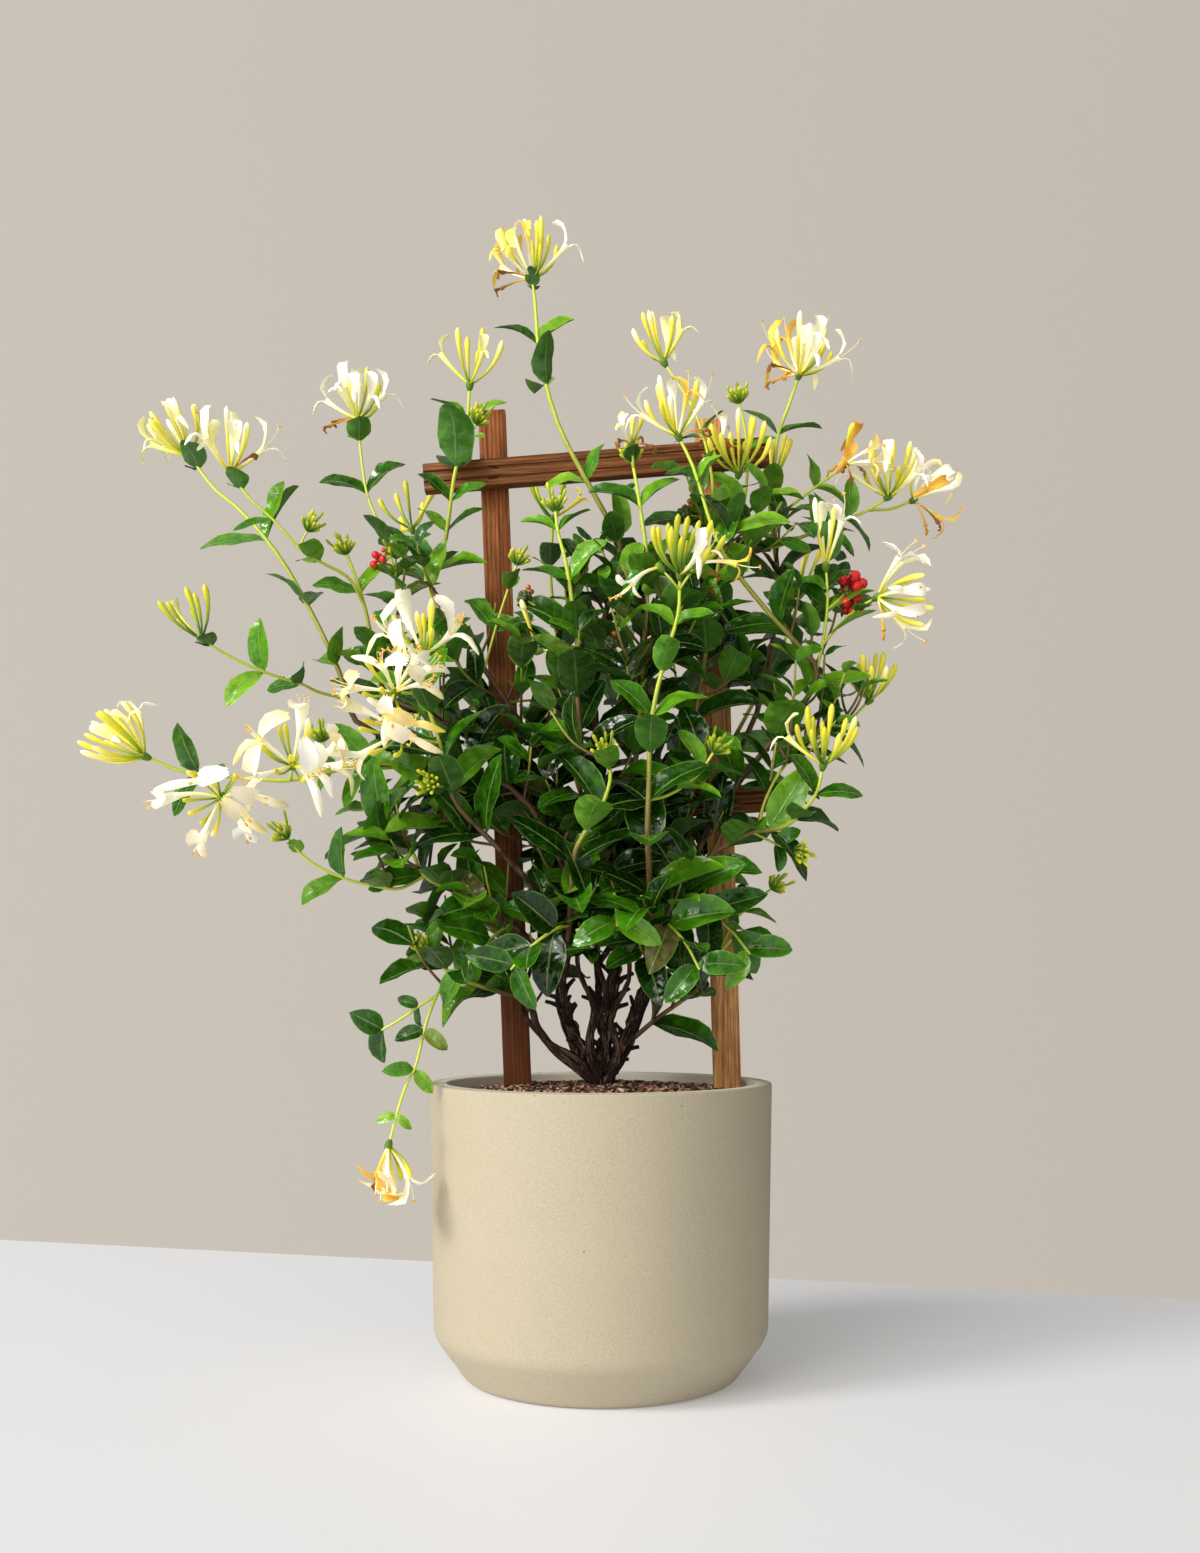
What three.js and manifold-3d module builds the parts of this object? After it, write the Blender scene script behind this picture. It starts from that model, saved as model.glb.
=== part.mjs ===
// A potted honeysuckle on a small wooden trellis.
// Millimetres, +Z up. The origin is the centre of the pot's flat underside, and -Y is the plant's front.
import * as THREE from "three";
import { mergeVertices } from "three/addons/utils/BufferGeometryUtils.js";
import Module from "manifold-3d";

// ---------------------------------------------------------------- driving dimensions

const POT_HEIGHT = 233;
const RIM_RADIUS = 136;
const WALL = 14;
const FLOOR_THICKNESS = 16;
const CHAMFER_HEIGHT = 35;
const CHAMFER_RADIUS = 133;
const FOOT_RADIUS = 108;
const DRAIN_RADIUS = 6;
const DRAIN_RING = 50;
const POT_SIDES = 32;

const CLEARANCE = 0.4;
const SOIL_CROWN = 230;
const SOIL_EDGE = 223;

const LATH_WIDTH = 22;
const LATH_THICKNESS = 12;
const UPRIGHT_BACK = 32.3;
const UPRIGHT_DEPTH_IN_SOIL = 50;
const LEFT_UPRIGHT = { foot: -68, top: -89, height: 778 };
const RIGHT_UPRIGHT = { foot: 103, top: 88, height: 771 };
const TOP_CROSSBAR = { left: [-143, 719], right: [135, 741] };
const LOWER_CROSSBAR = { left: [-150, 444], right: [140, 462] };
const CROSSBAR_BACK = 20;

const TRUNK_RADIUS = 12;
const TRUNK_DEPTH = 42;
const SHOOT_GAP = 0.5;
const TIP_RADIUS = 1.3;
const LIMB_SIDES = 5;
const BARK_SIDES = 4;
const SHOOT_SIDES = 3;

const LEAF_WIDTH = 0.27;
const ROUND_LEAF_WIDTH = 0.45;
const LEAF_KEEL = 1.0;
const LEAF_SPREAD = 55;
const LEAF_ARCH = 0.08;
const LEAF_DROOP = 0.1;
const LEAF_ROOM = 0.5;
// The ways in which a leaf is tried where it meets another: [turned by, share of its length].
const LEAF_TRIES = [[0, 1], [25, 1], [-25, 1], [50, 0.92], [-50, 0.92], [80, 0.84], [0, 0.7], [90, 0.7]];

const BUD_RADIUS = 3.1;
const YOUNG_BUD_RADIUS = 2.3;
const YOUNG_BUD_LENGTH = 17;
const YOUNG_BUD_LEAN = 50;
const TUBE_RADIUS = 2.6;
const CORE_RADIUS = 4;
const GOLDEN_ANGLE = 137.5;

const BERRY_RADIUS = 4.6;
const BERRY_SPREAD = 125;

const COLOURS = {
  pot: "#cdbd9c",
  soil: "#3d2a20",
  trellis: "#7d4326",
  bark: "#4a3226",
  leaf: "#3d7a2c",
  bloom: "#efe6a0",
  berry: "#c2182b",
};

// ---------------------------------------------------------------- the vine's own tables

// The old limbs that rise from the crown, as points they run through and the radius at each end.
const limbs = [
  { from: 8, to: 5, points: [[0, 0, 226], [-13, -9, 255], [-26, -18, 285], [-31, -22, 312]] },
  { from: 9, to: 6, points: [[0, 0, 226], [3, 0, 262], [8, -2, 296], [14, -6, 334]] },
  { from: 8, to: 5, points: [[2, 0, 226], [15, -3, 258], [28, -8, 289], [39, -12, 320]] },
  { from: 7, to: 4.5, points: [[1, 3, 226], [4, 20, 253], [-1, 42, 289], [-3, 55, 327]] },
];

// Each stem runs through its points. It is brown wood as far as point "bark" and a green shoot beyond it.
// "pairs" are its leaf pairs: [place along the points, leaf length, turn about the stem, broad or not].
// "sides" are the shoots that fork from it.
// At its tip a shoot has a "bloom", a number of young "buds" or a number of "berries".
const stems = [
  {
    name: "low_left", bark: 4, from: 4.5,
    points: [[0, 0, 228], [-17, -12, 243], [-36, -20, 259], [-50, -22, 277], [-57, -21, 297],
      [-75, -30, 304], [-88, -38, 308], [-113, -45, 317], [-126, -48, 329], [-134, -50, 337]],
    pairs: [[5.2, 44, 60], [6.3, 46, 0], [7.4, 55, 80], [8.3, 34, 0]],
    buds: 4,
    sides: [
      {
        points: [[-101, -42, 313], [-122, -50, 308], [-128, -54, 297], [-134, -62, 277],
          [-140, -70, 249], [-147, -74, 234], [-153, -78, 214], [-158, -80, 194]],
        pairs: [[3, 26, 0], [4.1, 26, 20], [6, 18, 0]],
        bloom: {
          name: "trailing_bloom", buds: 2, open: 3, size: 39,
          spread: 50, lean: [0.1, -0.2, -1], droop: 0.4,
        },
      },
      {
        points: [[-126, -52, 302], [-134, -50, 298], [-153, -46, 285], [-172, -44, 274]],
        pairs: [[1.3, 18, 10], [2.8, 30, 20, true]],
      },
    ],
  },
  {
    name: "mid_left", bark: 2, from: 3,
    points: [[-31, -22, 310], [-44, -30, 334], [-63, -38, 353], [-86, -45, 370], [-112, -50, 382],
      [-135, -54, 394], [-143, -56, 410], [-152, -58, 430]],
    pairs: [[3.3, 55, 0], [4.2, 55, 80], [5, 48, 20], [6.2, 46, 0]],
    sides: [
      {
        points: [[-70, -40, 358], [-84, -56, 346], [-98, -70, 330], [-108, -80, 312]],
        pairs: [[1, 52, 20], [2.4, 44, 100]],
      },
      {
        points: [[-135, -54, 394], [-154, -58, 384], [-173, -62, 386], [-194, -68, 391],
          [-221, -74, 405], [-235, -78, 421]],
        pairs: [[1.4, 40, 80], [3, 42, 10], [4.3, 22, 90]],
        buds: 3,
      },
    ],
  },
  {
    name: "far_left", bark: 2, from: 3.2,
    points: [[-31, -22, 310], [-22, -45, 360], [-31, -58, 406], [-62, -62, 455], [-100, -64, 472],
      [-130, -66, 475], [-173, -70, 477], [-201, -74, 472], [-233, -78, 464], [-285, -84, 467],
      [-313, -90, 470], [-333, -96, 478]],
    pairs: [[3.2, 59, 150], [4, 57, 70], [5, 55, 160], [6, 44, 20], [7, 34, 70], [8.9, 34, 100],
      [9.5, 40, 10]],
    bloom: { name: "far_left_bloom", buds: 7, open: 1, size: 54, spread: 62, lean: [-0.9, -0.25, 0.55] },
    sides: [
      {
        points: [[-233, -78, 464], [-230, -90, 466], [-227, -100, 470]], pairs: [],
        bloom: {
          name: "left_bloom_high", buds: 1, open: 5, size: 50,
          spread: 80, lean: [0.1, -0.8, 0.5], droop: 0.3,
        },
      },
      {
        points: [[-272, -83, 466], [-275, -92, 460], [-278, -100, 451]], pairs: [],
        bloom: {
          name: "left_bloom_low", buds: 1, open: 4, size: 50,
          spread: 85, lean: [0, -0.9, -0.1], droop: 0.6,
        },
      },
    ],
  },
  {
    name: "front_left", bark: 2, from: 3,
    points: [[-31, -22, 310], [-46, -65, 375], [-75, -85, 411], [-108, -95, 446], [-114, -98, 469],
      [-120, -102, 494], [-129, -104, 523], [-130, -104, 549]],
    pairs: [[2.3, 63, 20], [3.2, 59, 110], [4.3, 55, 10], [5.5, 42, 90]],
    bloom: { name: "white_bloom_high", buds: 2, open: 4, size: 45, spread: 80, lean: [-0.1, -0.6, 0.8] },
    sides: [
      {
        points: [[-129, -104, 523], [-137, -112, 523], [-146, -121, 522]], pairs: [],
        bloom: {
          name: "white_bloom_mid", buds: 0, open: 4, size: 45,
          spread: 85, lean: [0.1, -0.9, 0.2], droop: 0.3,
        },
      },
      {
        points: [[-118, -101, 488], [-131, -108, 490], [-143, -114, 492]], pairs: [],
        bloom: {
          name: "white_bloom_low", buds: 1, open: 3, size: 45,
          spread: 80, lean: [-0.5, -0.8, 0.1], droop: 0.4,
        },
      },
      { points: [[-112, -97, 458], [-117, -104, 456], [-122, -112, 457]], pairs: [], buds: 4 },
    ],
  },
  {
    name: "front_mid", bark: 1, from: 3,
    points: [[-31, -22, 310], [-25, -60, 345], [-22, -85, 381], [-19, -95, 409], [-12, -98, 423],
      [-1, -100, 439], [7, -102, 463], [4, -104, 479]],
    pairs: [[1.7, 63, 80], [2.7, 63, 0], [4, 59, 90], [5, 55, 10], [6.3, 38, 90]],
    buds: 4,
    sides: [
      {
        points: [[-24, -68, 356], [-34, -88, 352], [-50, -100, 340], [-66, -108, 322]],
        pairs: [[1, 54, 20], [2, 50, 100], [2.8, 38, 0]],
      },
    ],
  },
  {
    name: "fan", bark: 3, from: 3.4,
    points: [[14, -6, 334], [-12, -2, 378], [-60, -4, 430], [-119, -12, 486], [-191, -25, 516],
      [-198, -26, 534], [-207, -24, 560], [-231, -16, 609], [-258, -4, 654], [-290, 8, 692],
      [-313, 14, 712], [-332, 20, 737]],
    pairs: [[3.5, 55, 80], [6, 40, 60], [7, 44, 110], [8.3, 58, 0], [10.7, 28, 80, true]],
    bloom: { name: "fan_bloom_left", buds: 5, open: 2, size: 50, spread: 60, lean: [-0.5, -0.2, 0.9] },
    sides: [
      {
        points: [[-198, -26, 534], [-220, -38, 538], [-230, -46, 542], [-255, -62, 548],
          [-282, -76, 559], [-295, -82, 567]],
        pairs: [[2, 36, 70], [3, 44, 0], [4.7, 20, 80, true]],
        bloom: { name: "fan_bloom_low", buds: 3, open: 1, size: 48, spread: 55, lean: [-0.4, -0.2, 0.9] },
      },
    ],
  },
  {
    name: "inner_left", bark: 3, from: 3.2,
    points: [[14, -6, 334], [-14, -14, 392], [-56, -20, 462], [-120, -16, 516], [-171, -6, 543],
      [-182, -8, 584], [-188, -10, 612], [-196, -14, 638], [-201, -16, 651]],
    pairs: [[3.5, 57, 20], [4.5, 48, 100], [6.3, 42, 0]],
    buds: 4,
    sides: [
      {
        points: [[-177, -7, 565], [-162, 6, 612], [-170, 18, 655], [-183, 28, 690], [-192, 34, 713],
          [-198, 38, 749], [-200, 40, 773]],
        pairs: [[1, 44, 20], [2.3, 36, 100], [4, 43, 0], [5.4, 28, 80, true]],
        bloom: {
          name: "inner_bloom_top", buds: 2, open: 4, size: 48,
          spread: 75, lean: [-0.05, -0.2, 1],
        },
      },
      {
        points: [[-188, -10, 612], [-199, -20, 631], [-219, -28, 641], [-234, -34, 650],
          [-254, -40, 671], [-270, -44, 685], [-283, -46, 701]],
        pairs: [[2, 34, 80], [4, 32, 0], [5.5, 24, 80, true]],
        bloom: { name: "fan_bloom_right", buds: 4, open: 3, size: 50, spread: 60, lean: [0.05, -0.2, 1] },
      },
    ],
  },
  {
    name: "upper_left", bark: 2, from: 3,
    points: [[14, -6, 334], [2, -18, 392], [-34, -24, 470], [-92, -16, 560], [-136, -10, 631],
      [-124, -10, 661], [-120, -12, 686], [-115, -14, 718], [-107, -14, 745], [-104, -14, 781]],
    pairs: [[2.4, 59, 10], [3.2, 57, 100], [4.2, 46, 10], [5.3, 38, 20], [6.2, 36, 0], [7, 61, 100],
      [8.4, 34, 0]],
    bloom: { name: "upper_left_bloom", buds: 4, open: 2, size: 50, spread: 62, lean: [0.05, -0.15, 1] },
  },
  {
    name: "top", bark: 2, from: 3.4,
    points: [[14, -6, 334], [9, -10, 394], [-1, -18, 472], [-5, -22, 542], [2, -24, 597],
      [16, -25, 648], [-3, -27, 690], [-22, -27, 725], [-35, -24, 754], [-47, -14, 800],
      [-50, -8, 819], [-53, 4, 860], [-55, 8, 875]],
    pairs: [[2.5, 61, 0], [3.3, 59, 90], [4.2, 55, 10], [5.2, 42, 90], [6.4, 38, 0], [8.6, 44, 75],
      [10, 44, 0], [11.8, 18, 90, true]],
    bloom: { name: "top_bloom", buds: 4, open: 3, size: 52, spread: 72, lean: [-0.15, -0.2, 1] },
  },
  {
    name: "centre", bark: 1, from: 3,
    points: [[14, -6, 334], [-1, -30, 392], [-12, -48, 468], [-18, -52, 529], [-18, -54, 573],
      [-21, -54, 597], [-24, -54, 618], [-28, -53, 639], [-33, -52, 658], [-35, -50, 675]],
    pairs: [[1.5, 63, 90], [2.2, 63, 0], [3, 59, 90], [4, 57, 10], [6, 46, 15], [8, 32, 0]],
    buds: 4,
    sides: [
      {
        points: [[-2, -32, 400], [6, -60, 396], [10, -84, 380], [12, -100, 354]],
        pairs: [[1, 54, 0], [2, 52, 80], [2.8, 40, 0]],
      },
    ],
  },
  {
    name: "middle", bark: 1, from: 3,
    points: [[14, -6, 334], [19, -20, 393], [24, -38, 462], [29, -46, 503], [31, -48, 537],
      [35, -50, 598], [35, -50, 642], [31, -50, 671], [28, -48, 692], [24, -46, 715]],
    pairs: [[1.6, 63, 20], [2.6, 61, 110], [4, 59, 20], [5.3, 50, 100], [7.3, 42, 0],
      [8.9, 20, 80, true]],
    buds: 3,
  },
  {
    name: "low_right", bark: 1, from: 2.6,
    points: [[14, -2, 258], [28, -12, 270], [43, -18, 283], [68, -22, 301], [76, -24, 307],
      [89, -26, 330], [106, -28, 351]],
    pairs: [[1.7, 59, 0], [2.8, 46, 80], [4.4, 40, 10], [5.9, 36, 0]],
    sides: [
      {
        points: [[89, -26, 330], [106, -14, 362], [120, -8, 374], [136, -6, 387]],
        pairs: [[1.5, 30, 20]],
        buds: 4,
      },
    ],
  },
  {
    name: "front", bark: 1, from: 3,
    points: [[39, -12, 318], [37, -55, 352], [36, -92, 388], [34, -112, 420], [35, -114, 460],
      [36, -114, 496], [41, -112, 526], [49, -106, 556], [57, -100, 585], [58, -98, 609]],
    pairs: [[1.7, 63, 0], [2.7, 63, 90], [3.6, 59, 0], [4.5, 55, 90], [5.3, 46, 0], [6.4, 40, 90],
      [7.6, 34, 10]],
    bloom: { name: "front_bloom", buds: 6, open: 1, size: 50, spread: 66, lean: [0.2, -0.4, 0.9] },
    sides: [
      {
        points: [[37, -64, 361], [50, -84, 356], [62, -98, 342], [72, -108, 322]],
        pairs: [[1, 54, 20], [2, 50, 100], [2.8, 38, 0]],
      },
      {
        points: [[34, -113, 445], [50, -108, 450], [71, -102, 465], [83, -100, 482]],
        pairs: [[1.2, 40, 80], [2.2, 36, 0]],
        buds: 4,
      },
    ],
  },
  {
    name: "right_mid", bark: 1, from: 3,
    points: [[39, -12, 318], [51, -15, 377], [62, -18, 456], [78, -20, 542], [88, -20, 612],
      [93, -22, 644], [97, -24, 670], [101, -24, 687], [107, -24, 708]],
    pairs: [[1.5, 63, 10], [2.1, 61, 100], [2.7, 59, 10], [3.4, 55, 100], [4.2, 46, 10], [5.4, 42, 90],
      [7.4, 26, 10, true]],
    bloom: { name: "right_club_bloom", buds: 7, open: 0, size: 50, spread: 66, lean: [-0.05, -0.3, 1] },
    sides: [
      {
        points: [[93, -22, 644], [111, -4, 681], [117, -3, 722], [115, -4, 753], [110, -6, 774]],
        pairs: [[1, 38, 30], [2.4, 28, 0]],
        buds: 4,
      },
    ],
  },
  {
    name: "arch", bark: 2, from: 3.2,
    points: [[39, -12, 318], [62, -20, 377], [89, -28, 443], [131, -35, 497], [163, -40, 537],
      [167, -42, 555], [151, -50, 572], [132, -58, 590], [115, -64, 608], [100, -70, 625],
      [90, -74, 639], [82, -76, 659], [76, -76, 679], [68, -74, 704], [60, -72, 721]],
    pairs: [[2.4, 59, 10], [3.1, 57, 100], [4.1, 48, 10], [6.8, 44, 20], [8.6, 38, 60, true],
      [10, 40, 150], [12.4, 30, 20, true]],
    bloom: { name: "arch_bloom", buds: 4, open: 2, size: 48, spread: 66, lean: [-0.1, -0.4, 0.9] },
    sides: [
      {
        points: [[82, -76, 659], [86, -40, 703], [74, -14, 764], [52, -6, 803]],
        pairs: [[1.6, 30, 30]],
        bloom: {
          name: "arch_bloom_back", buds: 5, open: 1, size: 48,
          spread: 62, lean: [-0.15, -0.1, 1],
        },
      },
      {
        points: [[167, -42, 555], [171, -44, 573], [174, -48, 599], [174, -50, 614], [173, -50, 628]],
        pairs: [[1.9, 40, 10], [3, 26, 0, true]],
        bloom: { name: "tall_tube_bloom", buds: 1, open: 2, size: 54, spread: 34, lean: [0, -0.2, 1] },
      },
      { points: [[174, -48, 599], [183, -46, 607], [190, -43, 615]], pairs: [], berries: 8 },
      {
        points: [[171, -44, 573], [187, -50, 591], [199, -56, 600], [207, -60, 604]],
        pairs: [[1.6, 28, 80]],
        bloom: { name: "right_side_bloom", buds: 3, open: 3, size: 50, spread: 75, lean: [0.9, -0.2, 0] },
      },
    ],
  },
  {
    name: "right_low", bark: 1, from: 3,
    points: [[39, -12, 318], [58, -35, 365], [80, -48, 405], [115, -60, 427], [135, -66, 429],
      [150, -74, 439], [162, -80, 456], [165, -84, 471]],
    pairs: [[1.6, 61, 10], [2.5, 59, 90], [3.6, 55, 0], [4.6, 44, 90], [5.8, 38, 0]],
    bloom: { name: "right_club_low", buds: 6, open: 1, size: 50, spread: 66, lean: [0.05, -0.3, 1] },
    sides: [
      {
        points: [[62, -38, 373], [80, -56, 366], [98, -68, 352], [112, -76, 334]],
        pairs: [[1, 52, 20], [2, 48, 100], [2.8, 36, 0]],
      },
      {
        points: [[120, -61, 428], [124, -62, 448], [141, -50, 479], [165, -30, 500], [195, -14, 518],
          [211, -8, 534]],
        pairs: [[1.2, 46, 10], [2.3, 48, 80], [3.4, 42, 0]],
        bloom: { name: "right_club_high", buds: 6, open: 0, size: 45, spread: 60, lean: [0.05, -0.2, 1] },
      },
    ],
  },
  {
    name: "right_back", bark: 2, from: 3.2,
    points: [[39, -12, 318], [58, 25, 371], [82, 52, 447], [128, 52, 531], [144, 20, 629],
      [140, 18, 674], [137, 17, 703], [141, 14, 737], [143, 12, 754], [153, 18, 782], [160, 22, 803]],
    pairs: [[2.4, 59, 10], [3.1, 59, 100], [4.2, 52, 10], [6, 42, 90], [8, 38, 0]],
    bloom: { name: "right_top_bloom", buds: 3, open: 5, size: 50, spread: 80, lean: [0.1, -0.2, 1] },
  },
  {
    name: "side", bark: 2, from: 3,
    points: [[14, -6, 334], [32, -4, 400], [40, -8, 480], [34, -14, 560], [34, -16, 615],
      [46, -12, 643], [71, -8, 652], [100, -4, 654], [128, 2, 658], [170, 12, 675], [199, 22, 689],
      [219, 30, 699], [233, 34, 709]],
    pairs: [[2.5, 55, 20], [3.4, 48, 100], [4.4, 42, 10], [6.3, 44, 90], [8, 42, 80], [9.1, 40, 10],
      [10, 38, 160]],
    bloom: { name: "side_bloom", buds: 4, open: 4, size: 52, spread: 72, lean: [0, -0.2, 1] },
    sides: [
      {
        points: [[100, -4, 654], [140, 2, 684], [165, 16, 707], [185, 22, 723], [197, 26, 733]],
        pairs: [[1, 38, 60], [2.4, 34, 0]],
        bloom: {
          name: "side_bloom_withered", buds: 1, open: 3, size: 39,
          spread: 75, lean: [0.3, -0.3, 0.5], droop: 0.5,
        },
      },
      {
        points: [[219, 30, 699], [241, 42, 704], [257, 50, 712]], pairs: [],
        bloom: {
          name: "side_bloom_cream", buds: 0, open: 4, size: 43,
          spread: 75, lean: [0.7, -0.3, 0.3], droop: 0.3,
        },
      },
    ],
  },
  {
    name: "back_left", bark: 1, from: 3,
    points: [[-3, 55, 327], [-35, 80, 399], [-79, 105, 487], [-115, 118, 568], [-135, 124, 615],
      [-152, 122, 660], [-164, 114, 704]],
    pairs: [[1.5, 61, 80], [2.5, 61, 0], [3.7, 52, 90], [5.1, 38, 0]],
    bloom: { name: "back_left_bloom", buds: 4, open: 2, size: 48, spread: 66, lean: [-0.2, 0.3, 1] },
    sides: [
      {
        points: [[-79, 105, 487], [-110, 95, 512], [-146, 84, 530], [-178, 76, 540]],
        pairs: [[1.3, 55, 20], [2.6, 42, 100]],
      },
    ],
  },
  {
    name: "back_up", bark: 1, from: 3,
    points: [[-3, 55, 327], [-9, 90, 417], [-20, 112, 492], [-32, 124, 560], [-38, 126, 617],
      [-44, 120, 665], [-42, 112, 712]],
    pairs: [[1.5, 63, 0], [2.6, 61, 90], [3.8, 52, 0], [5.2, 40, 90]],
    bloom: { name: "back_top_bloom", buds: 5, open: 1, size: 48, spread: 62, lean: [0, 0.3, 1] },
    sides: [
      {
        points: [[-20, 112, 492], [6, 100, 530], [18, 88, 570], [20, 78, 610]],
        pairs: [[1.4, 55, 20], [2.6, 42, 100]],
      },
    ],
  },
  {
    name: "back_right", bark: 1, from: 3,
    points: [[-3, 55, 327], [42, 80, 391], [90, 100, 478], [134, 108, 558], [158, 108, 605],
      [172, 102, 645]],
    pairs: [[1.4, 61, 80], [2.4, 61, 0], [3.4, 54, 90], [4.4, 40, 0]],
    bloom: { name: "back_right_bloom", buds: 4, open: 2, size: 48, spread: 70, lean: [0.4, 0.4, 0.9] },
    sides: [
      {
        points: [[90, 100, 478], [74, 112, 540], [62, 116, 600], [58, 108, 650]],
        pairs: [[1.2, 57, 20], [2.4, 46, 100]],
      },
    ],
  },
  {
    name: "back_low", bark: 1, from: 3,
    points: [[-3, 55, 327], [-1, 96, 352], [14, 126, 382], [42, 146, 410], [76, 156, 432]],
    pairs: [[1.6, 61, 0], [2.7, 59, 90], [3.6, 44, 0]],
    sides: [
      {
        points: [[14, 126, 382], [-16, 144, 408], [-48, 152, 440], [-70, 150, 476]],
        pairs: [[1.2, 59, 20], [2.4, 48, 100]],
      },
    ],
  },
];

// ---------------------------------------------------------------- joining and cutting solids

const wasm = await Module();
wasm.setup();

function solidOf(geometry) {
  geometry.deleteAttribute("normal");
  geometry.deleteAttribute("uv");
  const merged = mergeVertices(geometry, 1e-4);
  const vertProperties = merged.attributes.position.array;
  const triVerts = new Uint32Array(merged.index.array);
  return new wasm.Manifold(new wasm.Mesh({ numProp: 3, vertProperties, triVerts }));
}

function joined(solids) {
  return solids.reduce((whole, next) => whole.add(next));
}

const plant = new THREE.Group();
const placed = [];

function addMesh(name, solid, colour, roughness) {
  const mesh = solid.getMesh();
  const geometry = new THREE.BufferGeometry()
    .setAttribute("position", new THREE.BufferAttribute(mesh.vertProperties, 3))
    .setIndex(new THREE.BufferAttribute(mesh.triVerts, 1));
  geometry.computeVertexNormals();
  const material = new THREE.MeshStandardMaterial({ color: colour, roughness, flatShading: true });
  const made = new THREE.Mesh(geometry, material);
  made.name = name;
  plant.add(made);
}

// ---------------------------------------------------------------- small helpers on directions

const UP = new THREE.Vector3(0, 0, 1);
const FRONT = new THREE.Vector3(0, -1, 0);
const radians = THREE.MathUtils.degToRad;

function vector(list) {
  return new THREE.Vector3(...list);
}

// A repeatable draw between 0 and 1 for each key.
function chance(key) {
  const wave = Math.sin(key * 12.9898) * 43758.5453;
  return wave - Math.floor(wave);
}

// The part of one direction that stands square to another.
function squareTo(direction, along) {
  return direction.clone().addScaledVector(along, -direction.dot(along)).normalize();
}

// A smooth line through a list of points, read by a place that counts the points from 0.
function lineThrough(points) {
  const curve = new THREE.CatmullRomCurve3(points.map(vector));
  const last = points.length - 1;
  return {
    last,
    at: (place) => curve.getPoint(place / last),
    inside: (place) => {
      const [before, after] = [Math.floor(place), Math.min(Math.floor(place) + 1, last)];
      return curve.getPoint(before / last).lerp(curve.getPoint(after / last), place - before);
    },
    along: (place) => curve.getTangent(place / last),
  };
}

// ---------------------------------------------------------------- pot and soil

function makePot() {
  const inner = RIM_RADIUS - WALL;
  const profile = [
    [0, 0], [FOOT_RADIUS - 4, 0], [FOOT_RADIUS + 2, 2], [CHAMFER_RADIUS, CHAMFER_HEIGHT],
    [RIM_RADIUS, POT_HEIGHT - 3], [RIM_RADIUS - 3, POT_HEIGHT],
    [inner + 1, POT_HEIGHT], [inner, POT_HEIGHT - 2],
    [inner - 3, CHAMFER_HEIGHT + 6], [FOOT_RADIUS - WALL, FLOOR_THICKNESS], [0, FLOOR_THICKNESS],
  ];
  const shell = new THREE.LatheGeometry(profile.map(([r, z]) => new THREE.Vector2(r, z)), POT_SIDES);
  let pot = solidOf(shell.rotateX(Math.PI / 2));
  for (let i = 0; i < 3; i++) {
    const angle = radians(90 + 120 * i);
    const drain = new THREE.CylinderGeometry(DRAIN_RADIUS, DRAIN_RADIUS, FLOOR_THICKNESS * 3, 10);
    drain.rotateX(Math.PI / 2).translate(DRAIN_RING * Math.cos(angle), DRAIN_RING * Math.sin(angle), 0);
    pot = pot.subtract(solidOf(drain));
  }
  return pot;
}

// The potting mix: a plug that fills the pot, crowned at the plant and uneven on top.
function makeSoil(feet) {
  const inner = RIM_RADIUS - WALL - 2 * CLEARANCE;
  const profile = [
    [0, FLOOR_THICKNESS + CLEARANCE], [FOOT_RADIUS - WALL - 1, FLOOR_THICKNESS + CLEARANCE],
    [inner - 3, CHAMFER_HEIGHT + 8], [inner, SOIL_EDGE], [inner * 0.7, SOIL_EDGE + 3], [0, SOIL_CROWN],
  ];
  const plug = new THREE.LatheGeometry(profile.map(([r, z]) => new THREE.Vector2(r, z)), POT_SIDES);
  plug.rotateX(Math.PI / 2);
  const spot = plug.attributes.position;
  for (let i = 0; i < spot.count; i++) {
    const [x, y, z] = [spot.getX(i), spot.getY(i), spot.getZ(i)];
    if (z > SOIL_EDGE + 1) spot.setZ(i, z + 1.6 * Math.sin(x * 0.21) * Math.cos(y * 0.17));
  }
  return feet.reduce((soil, foot) => soil.subtract(foot), solidOf(plug));
}

// ---------------------------------------------------------------- trellis

// A straight lath between two points [x, z], with its back face at the given depth.
function lath([x0, z0], [x1, z1], back, extra) {
  const length = Math.hypot(x1 - x0, z1 - z0);
  const box = new THREE.BoxGeometry(length + extra, LATH_THICKNESS + extra, LATH_WIDTH + extra);
  box.rotateY(-Math.atan2(z1 - z0, x1 - x0));
  box.translate((x0 + x1) / 2, back - LATH_THICKNESS / 2, (z0 + z1) / 2);
  return solidOf(box);
}

function upright({ foot, top, height }, extra) {
  const slope = (top - foot) / (height - SOIL_CROWN);
  const sunk = SOIL_CROWN - UPRIGHT_DEPTH_IN_SOIL;
  return lath([foot - slope * UPRIGHT_DEPTH_IN_SOIL, sunk], [top, height], UPRIGHT_BACK + extra / 2, extra);
}

// ---------------------------------------------------------------- bodies drawn out along a curve

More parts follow.
